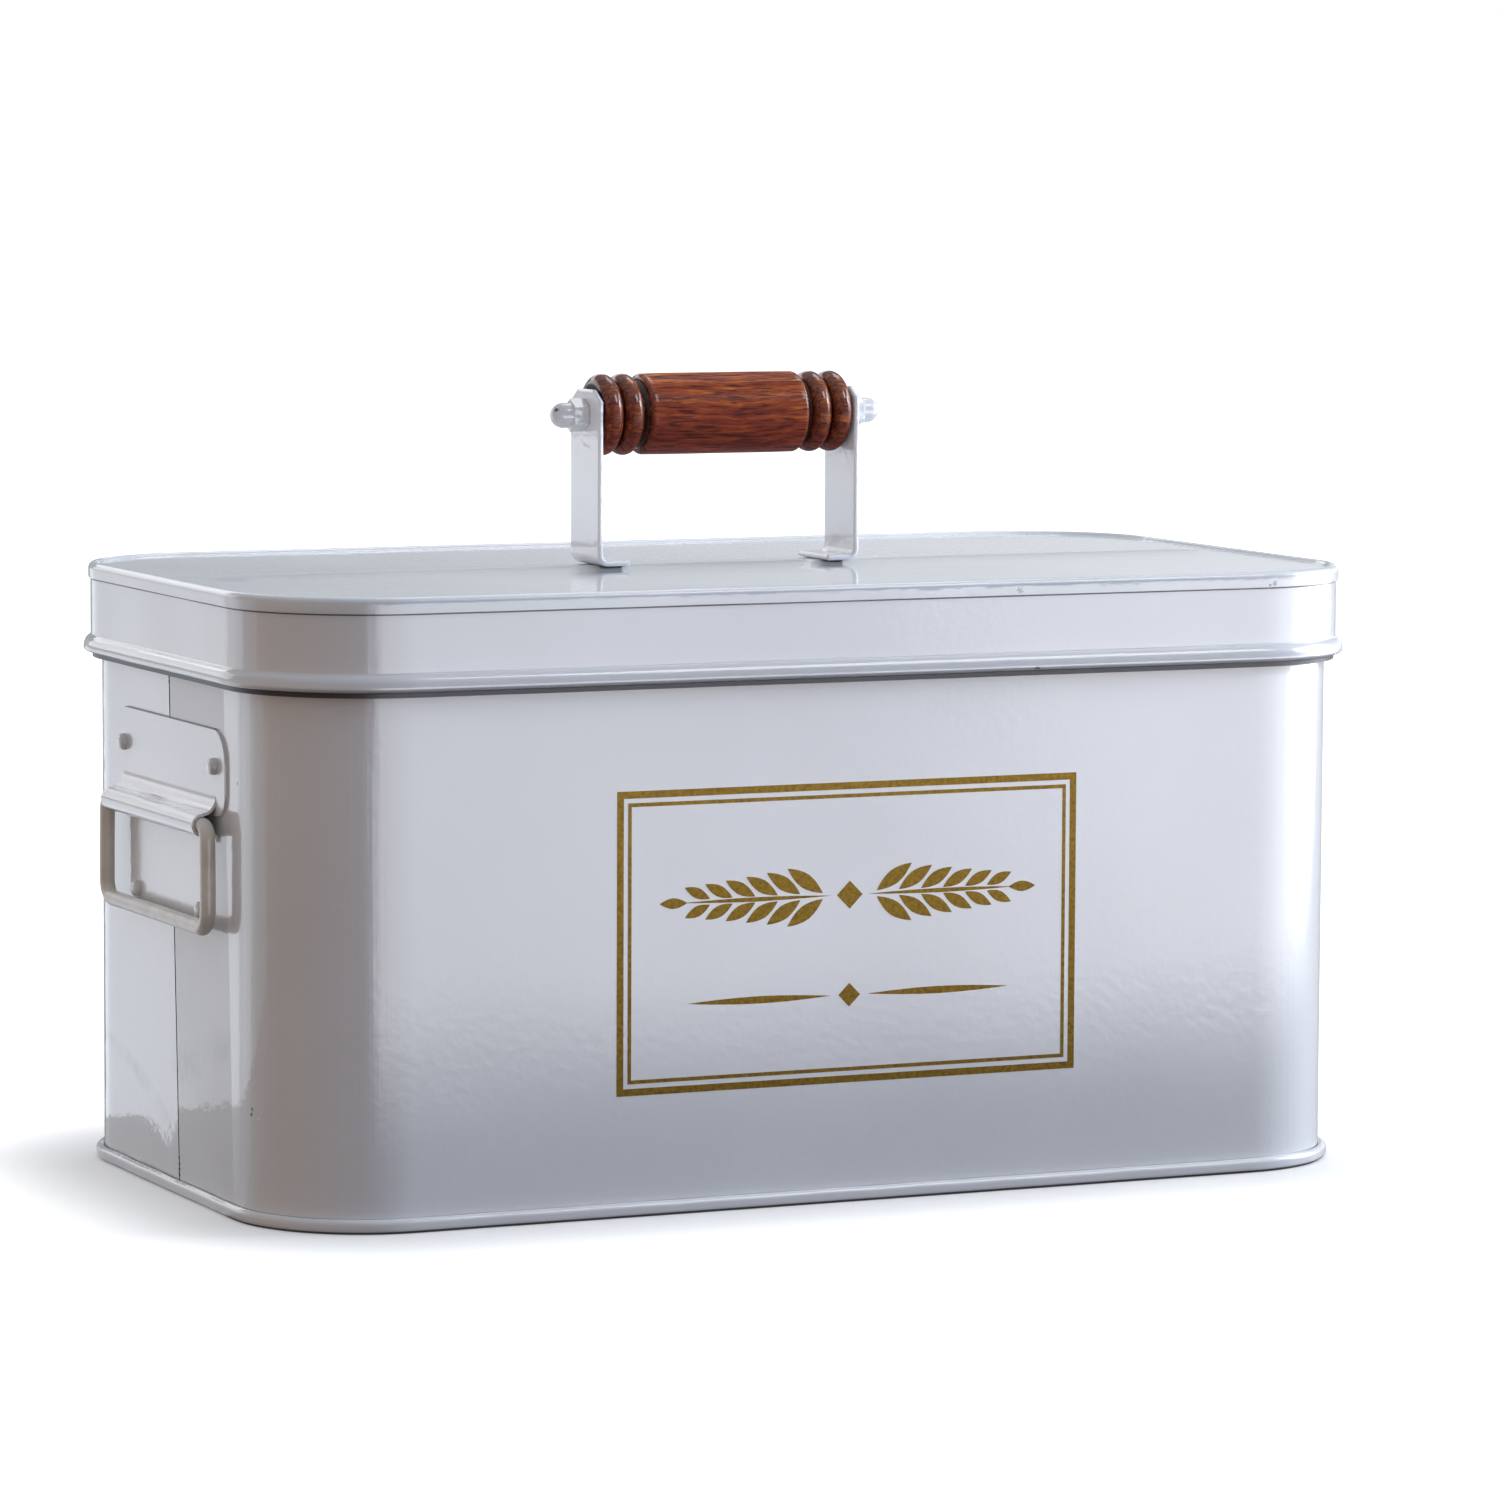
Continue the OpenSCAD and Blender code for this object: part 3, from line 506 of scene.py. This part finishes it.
bmesh.ops.bevel(made, geom=creases, offset=1.2 * mm, affect="EDGES", segments=2, profile=0.5, material=-1)
thicken(made, sheet)
lid_chip_and_dent_shade_marks = [(35.3, 58.1, 165.7, 1.1, "#3A3532"), (49.2, -90.5, 163.6, 1.0, "#9A9AA2"),
             (126.0, -90.5, 162.9, 0.7, "#77757A"), (127.4, -90.5, 163.3, 0.9, "#8C8A90")]
lid_enamel = gloss_enamel("gloss_white_enamel_lid", ("#F1F3F5", "#DCE0E4"), lid_chip_and_dent_shade_marks, dust=1.5)
settle(made, "lid_panel", lid_enamel, "white_enamel", "lid", "lid_top", sharp=30)


# Handle straps: two 20 mm strips of 1.6 mm steel with clipped top corners, bent in at the foot and welded
# to the ridge of the lid. Their edges are rounded over, and their paint is whiter than the tin's.
strap = 1.6 * mm
strap_face = 39.6
strap_top = 215.1
strap_line = [(29.8, 166.7), (36.0, 166.7)] + arc(36.5, 169.8, 3.1, -90, 0, 8)
strap_line += [(strap_face, 172), (strap_face, 194), (strap_face, strap_top)]
strap_enamel = gloss_enamel("gloss_white_enamel_strap", ("#F5F7FB", "#EEF0F5"))
for side, name in ((-1, "left"), (1, "right")):
    made = bmesh.new()
    ring = draw(made, [(side * x * mm, -10 * mm, height * mm) for x, height in strap_line])
    bmesh.ops.spin(made, geom=ring, axis=(1, 0, 0), dvec=(0, 5 * mm, 0), steps=4)
    for way in (-1, 1):
        bmesh.ops.bisect_plane(made, geom=made.verts[:] + made.edges[:] + made.faces[:], dist=1e-6,
                               plane_co=(0, way * 5.5 * mm, strap_top * mm), plane_no=(0, way * 3, 4.5),
                               clear_outer=True)
    thicken(made, strap)
    edges = [e for e in made.edges if len(e.link_faces) == 2 and e.calc_face_angle() > math.radians(50)]
    bmesh.ops.bevel(made, geom=edges, offset=0.76 * mm, affect="EDGES", segments=4, profile=0.5, material=-1)
    bmesh.ops.recalc_face_normals(made, faces=made.faces)
    settle(made, name + "_handle_strap", strap_enamel, "white_enamel", "lid", name + "_strap")


# Rod and cap nuts: a plain steel rod runs through the grip and both straps, and a domed hexagon nut is
# run on to each end and painted with the lid. The rod is all but hidden.
rod_z = 208
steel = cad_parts["grip_rod"]
rod_steel = bpy.data.materials.new("drawn_steel_rod")
rod_steel.use_nodes = True
tree = rod_steel.node_tree
metal = tree.nodes["Principled BSDF"]
metal.inputs["Metallic"].default_value = 1
metal.inputs["Roughness"].default_value = 0.38
place = add(tree, "TexCoord").outputs["Object"]
along = (1 / (30 * mm), 1 / (0.3 * mm), 1 / (0.3 * mm))
drawn = add(tree, "Mapping", {"Vector": place, "Scale": along}).outputs[0]
lines = add(tree, "TexNoise", {"Vector": drawn, "Scale": 1, "Detail": 3}).outputs["Fac"]
bright = add(tree, "Mix", {0: lines, 6: colour("#6E6A64"), 7: colour("#B0ABA4")}, data_type="RGBA").outputs[2]
tree.links.new(bright, metal.inputs["Base Color"])
steel.data.materials.clear()
steel.data.materials.append(rod_steel)
hexagon = 4.62 * mm
hex_length = 4.6 * mm
nut_line = [(3.6, 4.4), (3.5, 4.8), (3.5, 6.2)] + [(r, x) for x, r in arc(6.5, 0, 3.5, 90, 0, 10)]
nut_marks = [(-48.6, -1.6, 209.6, 0.7, "#4A4541"), (-47.2, -2.4, 206.2, 0.5, "#5A544F")]
nut_enamel = gloss_enamel("gloss_white_enamel_nut", white, nut_marks)
for side, name in ((-1, "left"), (1, "right")):
    made = bmesh.new()
    bmesh.ops.create_cone(made, cap_ends=True, segments=6, radius1=hexagon, radius2=hexagon, depth=hex_length)
    rims = [e for e in made.edges if abs(e.verts[0].co.z - e.verts[1].co.z) < 1e-6]
    bmesh.ops.bevel(made, geom=rims, offset=0.45 * mm, affect="EDGES", segments=2, profile=0.5, material=-1)
    bmesh.ops.translate(made, vec=(0, 0, hex_length / 2), verts=made.verts)
    dome = bmesh.new()
    ring = draw(dome, [(r * mm, 0, x * mm) for r, x in nut_line])
    bmesh.ops.spin(dome, geom=ring, axis=(0, 0, 1), angle=math.radians(360), steps=28, use_merge=True)
    bmesh.ops.remove_doubles(dome, verts=dome.verts, dist=0.005 * mm)
    bmesh.ops.recalc_face_normals(dome, faces=dome.faces)
    nut = join(made, dome)
    for degrees, axis in ((90, "Z"), (side * 90, "Y")):
        turn = Matrix.Rotation(math.radians(degrees), 3, axis)
        bmesh.ops.rotate(nut, cent=(0, 0, 0), matrix=turn, verts=nut.verts)
    bmesh.ops.translate(nut, vec=(side * strap_face * mm, 0, rod_z * mm), verts=nut.verts)
    settle(nut, name + "_dome_nut", nut_enamel, "white_enamel", "lid", name + "_cap_nut")


# Grip: a length of dark red hardwood turned on the lathe, with two bead rings and a groove at each end,
# bored for the rod and varnished. It turns freely between the straps.
grip_half = [(0, 11.25), (8, 11.27), (16, 11.26), (22.4, 11.2)]
grip_half += arc(22.5, 9.75, 1.48, 80, -20, 8) + [(24.9, 8.5)]
grip_half += arc(28.4, 8.35, 2.9, 170, 10, 18) + [(31.5, 8.6)] + arc(34.6, 8.35, 2.9, 170, 4, 20)
grip_half += [(37.5, 8.0), (37.5, 2.8)]


def varnished_wood(name):
    """Turned dark red hardwood: long dark streaks and open pores run with the grip, under glossy varnish."""
    made = bpy.data.materials.new(name)
    made.use_nodes = True
    tree = made.node_tree
    wood = tree.nodes["Principled BSDF"]
    place = add(tree, "TexCoord").outputs["Object"]
    # growth streaks 1.5 mm apart and 26 mm long, pulled about by a slower wander
    wander = add(tree, "TexNoise", {"Vector": place, "Scale": 1 / (30 * mm), "Detail": 2}).outputs["Color"]
    pulled = add(tree, "VectorMath", {0: wander, "Scale": 7 * mm}, operation="SCALE").outputs[0]
    pulled = add(tree, "VectorMath", {0: place, 1: pulled}, operation="ADD").outputs[0]
    along = (1 / (26 * mm), 1 / (1.5 * mm), 1 / (1.5 * mm))
    long = add(tree, "Mapping", {"Vector": pulled, "Scale": along}).outputs[0]
    figure = {"Vector": long, "Scale": 1, "Detail": 6, "Roughness": 0.75}
    streak = add(tree, "TexNoise", figure).outputs["Fac"]
    # painted light: the streaks run lighter, to orange, on the side that is up at rest, and darker, to
    # maroon, underneath
    across = add(tree, "SeparateXYZ", {0: place}).outputs
    painted_top_light = add(tree, "MapRange", {0: across[2], 1: 200 * mm, 2: 217 * mm, 3: -0.02, 4: 0.1}).outputs[0]
    streak = add(tree, "Math", {0: streak, 1: painted_top_light}, operation="ADD").outputs[0]
    ramp = add(tree, "ValToRGB", {0: streak})
    for stop, code in ((0.34, "#300F0C"), (0.45, "#6E2A1E"), (0.57, "#924024"), (0.66, "#BA5F28"),
                       (0.76, "#E4913E")):
        ramp.color_ramp.elements.new(stop).color = colour(code)
    ramp.color_ramp.elements.remove(ramp.color_ramp.elements[0])
    ramp.color_ramp.elements.remove(ramp.color_ramp.elements[-1])
    # pores 0.5 mm wide and 7 mm long, drawn coarser than the 0.15 mm of the real ones so that they show
    fine = (1 / (7 * mm), 1 / (0.5 * mm), 1 / (0.5 * mm))
    dash = add(tree, "Mapping", {"Vector": place, "Scale": fine}).outputs[0]
    pore = add(tree, "TexNoise", {"Vector": dash, "Scale": 1, "Detail": 1}).outputs["Fac"]
    open_pore = add(tree, "MapRange", {0: pore, 1: 0.56, 2: 0.66}).outputs[0]
    shade = add(tree, "Math", {0: open_pore, 1: 0.8}, operation="MULTIPLY").outputs[0]
    skin = add(tree, "Mix", {0: shade, 6: ramp.outputs[0], 7: colour("#220B06")}, data_type="RGBA").outputs[2]
    # painted shade: the rings are darkened and the grooves turned nearly black
    around = add(tree, "VectorMath", {0: place, 1: (0, 0, rod_z * mm)}, operation="SUBTRACT").outputs[0]
    around = add(tree, "VectorMath", {0: around, 1: (0, 1, 1)}, operation="MULTIPLY").outputs[0]
    out = add(tree, "VectorMath", {0: around}, operation="LENGTH").outputs["Value"]
    groove_shade = add(tree, "MapRange", {0: out, 1: 9.9 * mm, 2: 9.0 * mm, 4: 0.9}).outputs[0]
    reach = add(tree, "Math", {0: across[0]}, operation="ABSOLUTE").outputs[0]
    ring_shade = add(tree, "MapRange", {0: reach, 1: 23 * mm, 2: 24 * mm, 4: 0.32}).outputs[0]
    painted_wood_shade = add(tree, "Math", {0: groove_shade, 1: ring_shade}, operation="MAXIMUM").outputs[0]
    skin = add(tree, "Mix", {0: painted_wood_shade, 6: skin, 7: colour("#160705")}, data_type="RGBA").outputs[2]
    tree.links.new(skin, wood.inputs["Base Color"])
    wood.inputs["Roughness"].default_value = 0.5
    wood.inputs["Specular IOR Level"].default_value = 0.1
    # hands have dulled the varnish along the barrel and underneath, and it keeps its gloss on the rings
    gloss = add(tree, "MapRange", {0: reach, 1: 21.5 * mm, 2: 23 * mm, 3: 0.05, 4: 1}).outputs[0]
    turned = add(tree, "SeparateXYZ", {0: add(tree, "TexCoord").outputs["Normal"]}).outputs[2]
    kept = add(tree, "MapRange", {0: turned, 1: 0.0, 2: 0.2, 3: 0.1, 4: 1}).outputs[0]
    gloss = add(tree, "Math", {0: gloss, 1: kept}, operation="MULTIPLY").outputs[0]
    tree.links.new(gloss, wood.inputs["Coat Weight"])
    wood.inputs["Coat Roughness"].default_value = 0.1
    wood.inputs["Coat IOR"].default_value = 1.5
    relief = add(tree, "Bump", {"Height": open_pore, "Distance": -0.08 * mm, "Strength": 0.5}).outputs[0]
    tree.links.new(relief, wood.inputs["Normal"])
    return made


made = bmesh.new()
outline = [(-x, r) for x, r in reversed(grip_half)] + grip_half[1:]
row = [made.verts.new((x * mm, 0, (rod_z + r) * mm)) for x, r in outline]
ring = row + [made.edges.new(pair) for pair in zip(row, row[1:] + row[:1])]
bmesh.ops.spin(made, geom=ring, cent=(0, 0, rod_z * mm), axis=(1, 0, 0), angle=math.radians(360), steps=72,
               use_merge=True)
bmesh.ops.remove_doubles(made, verts=made.verts, dist=0.005 * mm)
bmesh.ops.recalc_face_normals(made, faces=made.faces)
settle(made, "turned_grip", varnished_wood("varnished_red_hardwood"), "varnished_wood", "grip", "wood_grip")


# Gold transfer: a double-line frame on the front, printed in gold bronze over the enamel, with a plain
# leaf sprig and a swelled rule inside it. It is a film a few hundredths of a millimetre thick.
film = 0.06 * mm
frame_left, frame_right, frame_low, frame_high = -67.0, 68.7, 32.3, 113.3


def gold_bronze(name):
    """Gold bronze powder in varnish: a dull metal, mottled where the powder lies thin."""
    made = bpy.data.materials.new(name)
    made.use_nodes = True
    tree = made.node_tree
    ink = tree.nodes["Principled BSDF"]
    place = add(tree, "TexCoord").outputs["Object"]
    thin = add(tree, "TexNoise", {"Vector": place, "Scale": 1 / (1.1 * mm), "Detail": 5}).outputs["Fac"]
    worn = add(tree, "MapRange", {0: thin, 1: 0.35, 2: 0.65}).outputs[0]
    tones = {0: worn, 6: colour("#5A4518"), 7: colour("#785F22")}
    skin = add(tree, "Mix", tones, data_type="RGBA").outputs[2]
    tree.links.new(skin, ink.inputs["Base Color"])
    ink.inputs["Metallic"].default_value = 0.55
    ink.inputs["Roughness"].default_value = 0.45
    ink.inputs["Specular IOR Level"].default_value = 0.1
    relief = add(tree, "Bump", {"Height": thin, "Distance": 0.03 * mm, "Strength": 0.4}).outputs[0]
    tree.links.new(relief, ink.inputs["Normal"])
    return made


def printed(made):
    """Stands a flat shape drawn in mm across and up on the front wall as a thin film."""
    raised = bmesh.ops.extrude_face_region(made, geom=made.faces[:])["geom"]
    lifted = [v for v in raised if isinstance(v, bmesh.types.BMVert)]
    bmesh.ops.translate(made, vec=(0, 0, film / mm), verts=lifted)
    turn = Matrix.Rotation(math.radians(90), 4, "X")
    bmesh.ops.transform(made, matrix=Matrix.Translation((0, -half_depth, 0)) @ turn @ Matrix.Scale(mm, 4),
                        verts=made.verts)
    bmesh.ops.recalc_face_normals(made, faces=made.faces)
    return made


def line_frame(inset, width):
    """A rectangle of printed line, a given distance inside the frame's outer edge."""
    made = bmesh.new()
    across, up = frame_right - frame_left - 2 * inset, frame_high - frame_low - 2 * inset
    bmesh.ops.create_grid(made, x_segments=1, y_segments=1, size=0.5)
    bmesh.ops.scale(made, vec=(across, up, 1), verts=made.verts)
    middle = ((frame_left + frame_right) / 2, (frame_low + frame_high) / 2, 0)
    bmesh.ops.translate(made, vec=middle, verts=made.verts)
    inside = made.faces[:]
    bmesh.ops.inset_region(made, faces=inside, thickness=width, use_even_offset=True, use_boundary=True)
    bmesh.ops.delete(made, geom=inside, context="FACES")
    return printed(made)


def leaf(x, z, length, width, tilt):
    """A pointed leaf, from its stalk end."""
    made = bmesh.new()
    bmesh.ops.create_circle(made, cap_ends=True, segments=24, radius=0.5)
    for v in made.verts:
        v.co.y *= (1 - abs(2 * v.co.x) ** 1.6) ** 0.5 * 0.9
    bmesh.ops.translate(made, vec=(0.5, 0, 0), verts=made.verts)
    bmesh.ops.scale(made, vec=(length, width, 1), verts=made.verts)
    place = Matrix.Translation((x, z, 0)) @ Matrix.Rotation(math.radians(tilt), 4, "Z")
    bmesh.ops.transform(made, matrix=place, verts=made.verts)
    return printed(made)


centre_x = (frame_left + frame_right) / 2
sprig_z, rule_z = 83.0, 56.0
ornament = [line_frame(0, 1.9), line_frame(3.15, 1.0)]
for side in (-1, 1):
    facing = 0 if side > 0 else 180
    for number in range(6):
        stalk = 8 + 6.6 * number
        size = 12.5 - 0.9 * number
        for way in (-1, 1):
            tilt = way * (34 - 2 * number)
            ornament.append(leaf(centre_x + side * stalk, sprig_z + way * 0.8, size, 4.4 - 0.25 * number,
                                 facing + side * tilt))
    for stalk, z, length, width in ((47.6, sprig_z, 8, 3.2), (5.4, sprig_z, 44, 1.3), (5.5, rule_z, 42, 2.2)):
        ornament.append(leaf(centre_x + side * stalk, z, length, width, facing))
for z, size in ((sprig_z, 7.6), (rule_z, 6.4)):
    made = bmesh.new()
    bmesh.ops.create_circle(made, cap_ends=True, segments=4, radius=size / 2)
    bmesh.ops.translate(made, vec=(centre_x, z, 0), verts=made.verts)
    ornament.append(printed(made))
settle(join(*ornament), "front_gold_print", gold_bronze("gold_bronze_print"), "gold_print", "tin")


# Studio: a white floor, a large soft light at the right with smaller ones round about, and two glowing
# cards on the floor that only the gloss sees. The camera sees the room as white. To the gloss it is beige
# behind the camera and to its left, where the front left corner mirrors it, and blue-grey to its right.
target = Vector((10.92, 0, 113.46)) * mm
azimuth, elevation, roll = (math.radians(a) for a in (-24.54, 5.71, 0.26))
back = Vector((math.sin(azimuth) * math.cos(elevation), -math.cos(azimuth) * math.cos(elevation),
               math.sin(elevation)))
right = (-back).cross(Vector((0, 0, 1))).normalized()
above = right.cross(-back)
right, above = (math.cos(roll) * right + math.sin(roll) * above,
                math.cos(roll) * above - math.sin(roll) * right)
focal_pixels, picture_pixels = 6609.72, 1500
stand_off = 1848.67
lens = bpy.data.cameras.new("camera")
lens.sensor_width = 36
lens.lens = 36 * focal_pixels / picture_pixels
lens.clip_end = 200
camera = bpy.data.objects.new("camera", lens)
turned = Matrix((right, above, back)).transposed().to_4x4()
camera.matrix_world = Matrix.Translation(target + back * stand_off * mm) @ turned
bpy.context.scene.collection.objects.link(camera)
bpy.context.scene.camera = camera

made = bmesh.new()
bmesh.ops.create_circle(made, cap_ends=True, segments=64, radius=60)
floor_mesh = bpy.data.meshes.new("floor")
made.to_mesh(floor_mesh)
made.free()
floor = bpy.data.objects.new("floor", floor_mesh)
bpy.context.scene.collection.objects.link(floor)
pale = bpy.data.materials.new("pale_floor")
pale.use_nodes = True
ground_tree = pale.node_tree
ground = ground_tree.nodes["Principled BSDF"]
ground.inputs["Base Color"].default_value = colour("#D4D4D4")
ground.inputs["Roughness"].default_value = 0.9
ground.inputs["Specular IOR Level"].default_value = 0.1
ground.inputs["Emission Color"].default_value = colour("#FFFFFF")
spot = add(ground_tree, "TexCoord").outputs["Object"]
aside = add(ground_tree, "VectorMath", {0: spot}, operation="ABSOLUTE").outputs[0]
flats = (half_length - corner, half_depth - corner, 0)
past = add(ground_tree, "VectorMath", {0: aside, 1: flats}, operation="SUBTRACT").outputs[0]
past = add(ground_tree, "VectorMath", {0: past, 1: (0, 0, 0)}, operation="MAXIMUM").outputs[0]
spread = add(ground_tree, "VectorMath", {0: past}, operation="LENGTH").outputs["Value"]
# the floor glows white from 70 mm out; closer in its glow is dimmed, a painted shade round the tin that keeps
# its shadow showing
glow = add(ground_tree, "MapRange", {0: spread, 1: corner, 2: corner + 70 * mm, 3: 0.3, 4: 1.0},
           interpolation_type="SMOOTHSTEP")
ground_tree.links.new(glow.outputs[0], ground.inputs["Emission Strength"])
floor_mesh.materials.append(pale)
# the floor takes the tin's shadow, and neither lights the tin nor shows in its gloss
floor.visible_diffuse = False
floor.visible_glossy = False


def soft_light(name, turn, rise, distance, width, height, power, tint):
    """A soft box facing the tin's middle, turned round from the front and raised, in degrees. Its distance
    and sides are in metres and its power in watts."""
    light = bpy.data.lights.new(name, "AREA")
    light.shape = "RECTANGLE"
    light.size, light.size_y = width, height
    light.energy = power
    light.color = colour(tint)[:3]
    turn, rise = math.radians(turn), math.radians(rise)
    away = Vector((math.sin(turn) * math.cos(rise), -math.cos(turn) * math.cos(rise), math.sin(rise)))
    lamp = bpy.data.objects.new(name, light)
    facing = away.to_track_quat("Z", "Y").to_matrix().to_4x4()
    lamp.matrix_world = Matrix.Translation(away * distance + Vector((0, 0, 90 * mm))) @ facing
    bpy.context.scene.collection.objects.link(lamp)
    return lamp


soft_light("right_box", 82, 16, 1.4, 1.0, 1.0, 17, "#F4F8FF")
soft_light("glint_box", 68, 25, 1.5, 0.25, 0.3, 3, "#FFFFFF")
soft_light("left_back_box", -150, 15, 1.6, 0.8, 0.6, 2.4, "#F8FAFF")
soft_light("back_box", 178, 24, 1.6, 1.2, 0.3, 2.0, "#F8FAFF")
soft_light("top_box", 140, 60, 1.6, 0.6, 0.6, 3.6, "#F6F9FF")
edge_box = soft_light("edge_box", 38, 46, 1.6, 0.5, 0.5, 5, "#FFFFFF")
edge_box.visible_diffuse = False
fill_box = soft_light("fill_box", 40, 30, 1.6, 1.0, 1.0, 4.0, "#B4D2FF")
fill_box.visible_glossy = False


sight_slope = 0.456


def mirror_card(name, start, side, stops, near, far, least, gain, glow, tint, tongue=0.0):
    """A white card on the floor, for the gloss to mirror.

    Round a start its light follows stops (degrees from the front, share), and it fades in from near to far.
    It grows by a gain towards one side, and a tongue of it may reach in towards the foot of the seam.
    """
    made = bmesh.new()
    bmesh.ops.create_circle(made, cap_ends=True, segments=48, radius=4)
    bmesh.ops.translate(made, vec=(0, 0, (0.6 + 0.3 * side) * mm), verts=made.verts)
    mesh = bpy.data.meshes.new(name)
    made.to_mesh(mesh)
    made.free()
    card = bpy.data.objects.new(name, mesh)
    bpy.context.scene.collection.objects.link(card)
    lit = bpy.data.materials.new(name + "_glow")
    lit.use_nodes = True
    tree = lit.node_tree
    place = add(tree, "TexCoord").outputs["Object"]
    off = add(tree, "VectorMath", {0: place, 1: (*start, 0)}, operation="SUBTRACT").outputs[0]
    across = add(tree, "SeparateXYZ", {0: off}).outputs
    ahead = add(tree, "Math", {0: across[1], 1: -1}, operation="MULTIPLY").outputs[0]
    beside = add(tree, "Math", {0: across[0], 1: side}, operation="MULTIPLY").outputs[0]
    turn = add(tree, "Math", {0: beside, 1: ahead}, operation="ARCTAN2").outputs[0]
    turn = add(tree, "MapRange", {0: turn, 1: -math.pi, 2: math.pi}).outputs[0]
    ramp = add(tree, "ValToRGB", {0: turn})
    for degrees, share in stops:
        ramp.color_ramp.elements.new(0.5 + degrees / 360).color = (share, share, share, 1)
    ramp.color_ramp.elements.remove(ramp.color_ramp.elements[0])
    ramp.color_ramp.elements.remove(ramp.color_ramp.elements[-1])
    away = add(tree, "Math", {0: ahead, 1: side}, operation="MULTIPLY").outputs[0]
    if tongue:
        # the tongue lies along the mirrored line of sight, which the sprung end turns, and the card's edge is
        # torn by noise at 7 mm
        sprung_slope, reach, tear = 0.33, 65 * mm, 20 * mm
        line = {0: across[1], 1: sprung_slope, 2: across[0]}
        sight = add(tree, "Math", line, operation="MULTIPLY_ADD").outputs[0]
        aside = add(tree, "Math", {0: sight, 1: tongue}, operation="SUBTRACT").outputs[0]
        aside = add(tree, "Math", {0: aside}, operation="ABSOLUTE").outputs[0]
        fall = add(tree, "Math", {0: aside, 1: -1 / (3.5 * mm)}, operation="MULTIPLY").outputs[0]
        fall = add(tree, "Math", {0: fall}, operation="EXPONENT").outputs[0]
        away = add(tree, "Math", {0: fall, 1: reach, 2: away}, operation="MULTIPLY_ADD").outputs[0]
        torn = add(tree, "TexNoise", {"Vector": place, "Scale": 1 / (7 * mm), "Detail": 2}).outputs["Fac"]
        away = add(tree, "Math", {0: torn, 1: tear, 2: away}, operation="MULTIPLY_ADD").outputs[0]
    # how far along the wall the mirrored line of sight from each place on the card comes in
    struck = add(tree, "Math", {0: ahead, 1: -sight_slope, 2: beside}, operation="MULTIPLY_ADD").outputs[0]
    if side > 0:
        # past the front wall's right end the distance is counted sideways too
        past = add(tree, "Math", {0: struck, 1: 0.3}, operation="SUBTRACT").outputs[0]
        past = add(tree, "Math", {0: past, 1: 0}, operation="MAXIMUM").outputs[0]
        away = add(tree, "Math", {0: past, 1: 0.5, 2: away}, operation="MULTIPLY_ADD").outputs[0]
    span = {0: away, 1: near, 2: far, 3: least, 4: 1}
    fade = add(tree, "MapRange", span, interpolation_type="SMOOTHSTEP").outputs[0]
    wide = add(tree, "MapRange", {0: struck, 1: 0.17, 2: 0.27, 3: glow, 4: glow * gain}).outputs[0]
    power = add(tree, "Math", {0: fade, 1: wide}, operation="MULTIPLY").outputs[0]
    light = add(tree, "Emission", {"Color": colour(tint), "Strength": power}).outputs[0]
    clear = add(tree, "BsdfTransparent").outputs[0]
    shown = add(tree, "MixShader", {0: ramp.outputs[0], 1: clear, 2: light}).outputs[0]
    tree.links.new(shown, tree.nodes["Material Output"].inputs["Surface"])
    mesh.materials.append(lit)
    card.visible_camera = False
    card.visible_diffuse = False
    card.visible_shadow = False


left_stops = [(111, 0), (116, 0.4), (131, 0.46), (134, 0.95), (147.5, 0.95), (149.5, 0.62), (155.5, 0.62),
              (157, 0.88)]
front_stops = [(-22, 0), (-18.75, 0.06), (-15.5, 0.25), (-12.25, 0.56), (-9, 1)]
mirror_card("left_card", (-0.157, -0.05), -1, left_stops, 0.188, 0.194, 0.36, 1, 2.0, "#ECF4FF",
            tongue=0.0131)
mirror_card("front_card", (-0.13, -0.087), 1, front_stops, 0.09, 0.46, 0.06, 1.3, 6.5, "#EAEAEF")

room = bpy.data.worlds.new("room")
bpy.context.scene.world = room
room.use_nodes = True
tree = room.node_tree
sky = tree.nodes["Background"]
look = add(tree, "TexCoord").outputs["Generated"]
shade = colour("#F2CFB2")
# each patch of the room: the way to its middle, how near to that it starts and is full, and its colour
for way, first, last, code in (((0.8, -0.6, 0.15), 0.1, 0.9, "#92AED2"),
                               ((-0.1, 0.99, 0.1), 0.4, 0.9, "#A4A8AE"),
                               ((0.85, 0.52, 0.1), 0.74, 0.92, "#EEF1F6"),
                               ((-0.5, 0.85, 0.3), 0.78, 0.96, "#CDD2DA"),
                               ((0, 0, 1), 0.1, 0.22, "#85888E"),
                               ((0, 0, 1), 0.4, 0.9, "#BCC0C6"),
                               ((0, 0, -1), 0.02, 0.25, "#3A3A3E")):
    towards = {0: look, 1: Vector(way).normalized()}
    facing = add(tree, "VectorMath", towards, operation="DOT_PRODUCT").outputs["Value"]
    share = add(tree, "MapRange", {0: facing, 1: first, 2: last}, interpolation_type="SMOOTHSTEP").outputs[0]
    shade = add(tree, "Mix", {0: share, 6: shade, 7: colour(code)}, data_type="RGBA").outputs[2]
seen = add(tree, "LightPath").outputs["Is Camera Ray"]
shade = add(tree, "Mix", {0: seen, 6: shade, 7: (1, 1, 1, 1)}, data_type="RGBA").outputs[2]
tree.links.new(shade, sky.inputs["Color"])
sky.inputs["Strength"].default_value = 1.0
bpy.context.scene.view_settings.view_transform = "Standard"
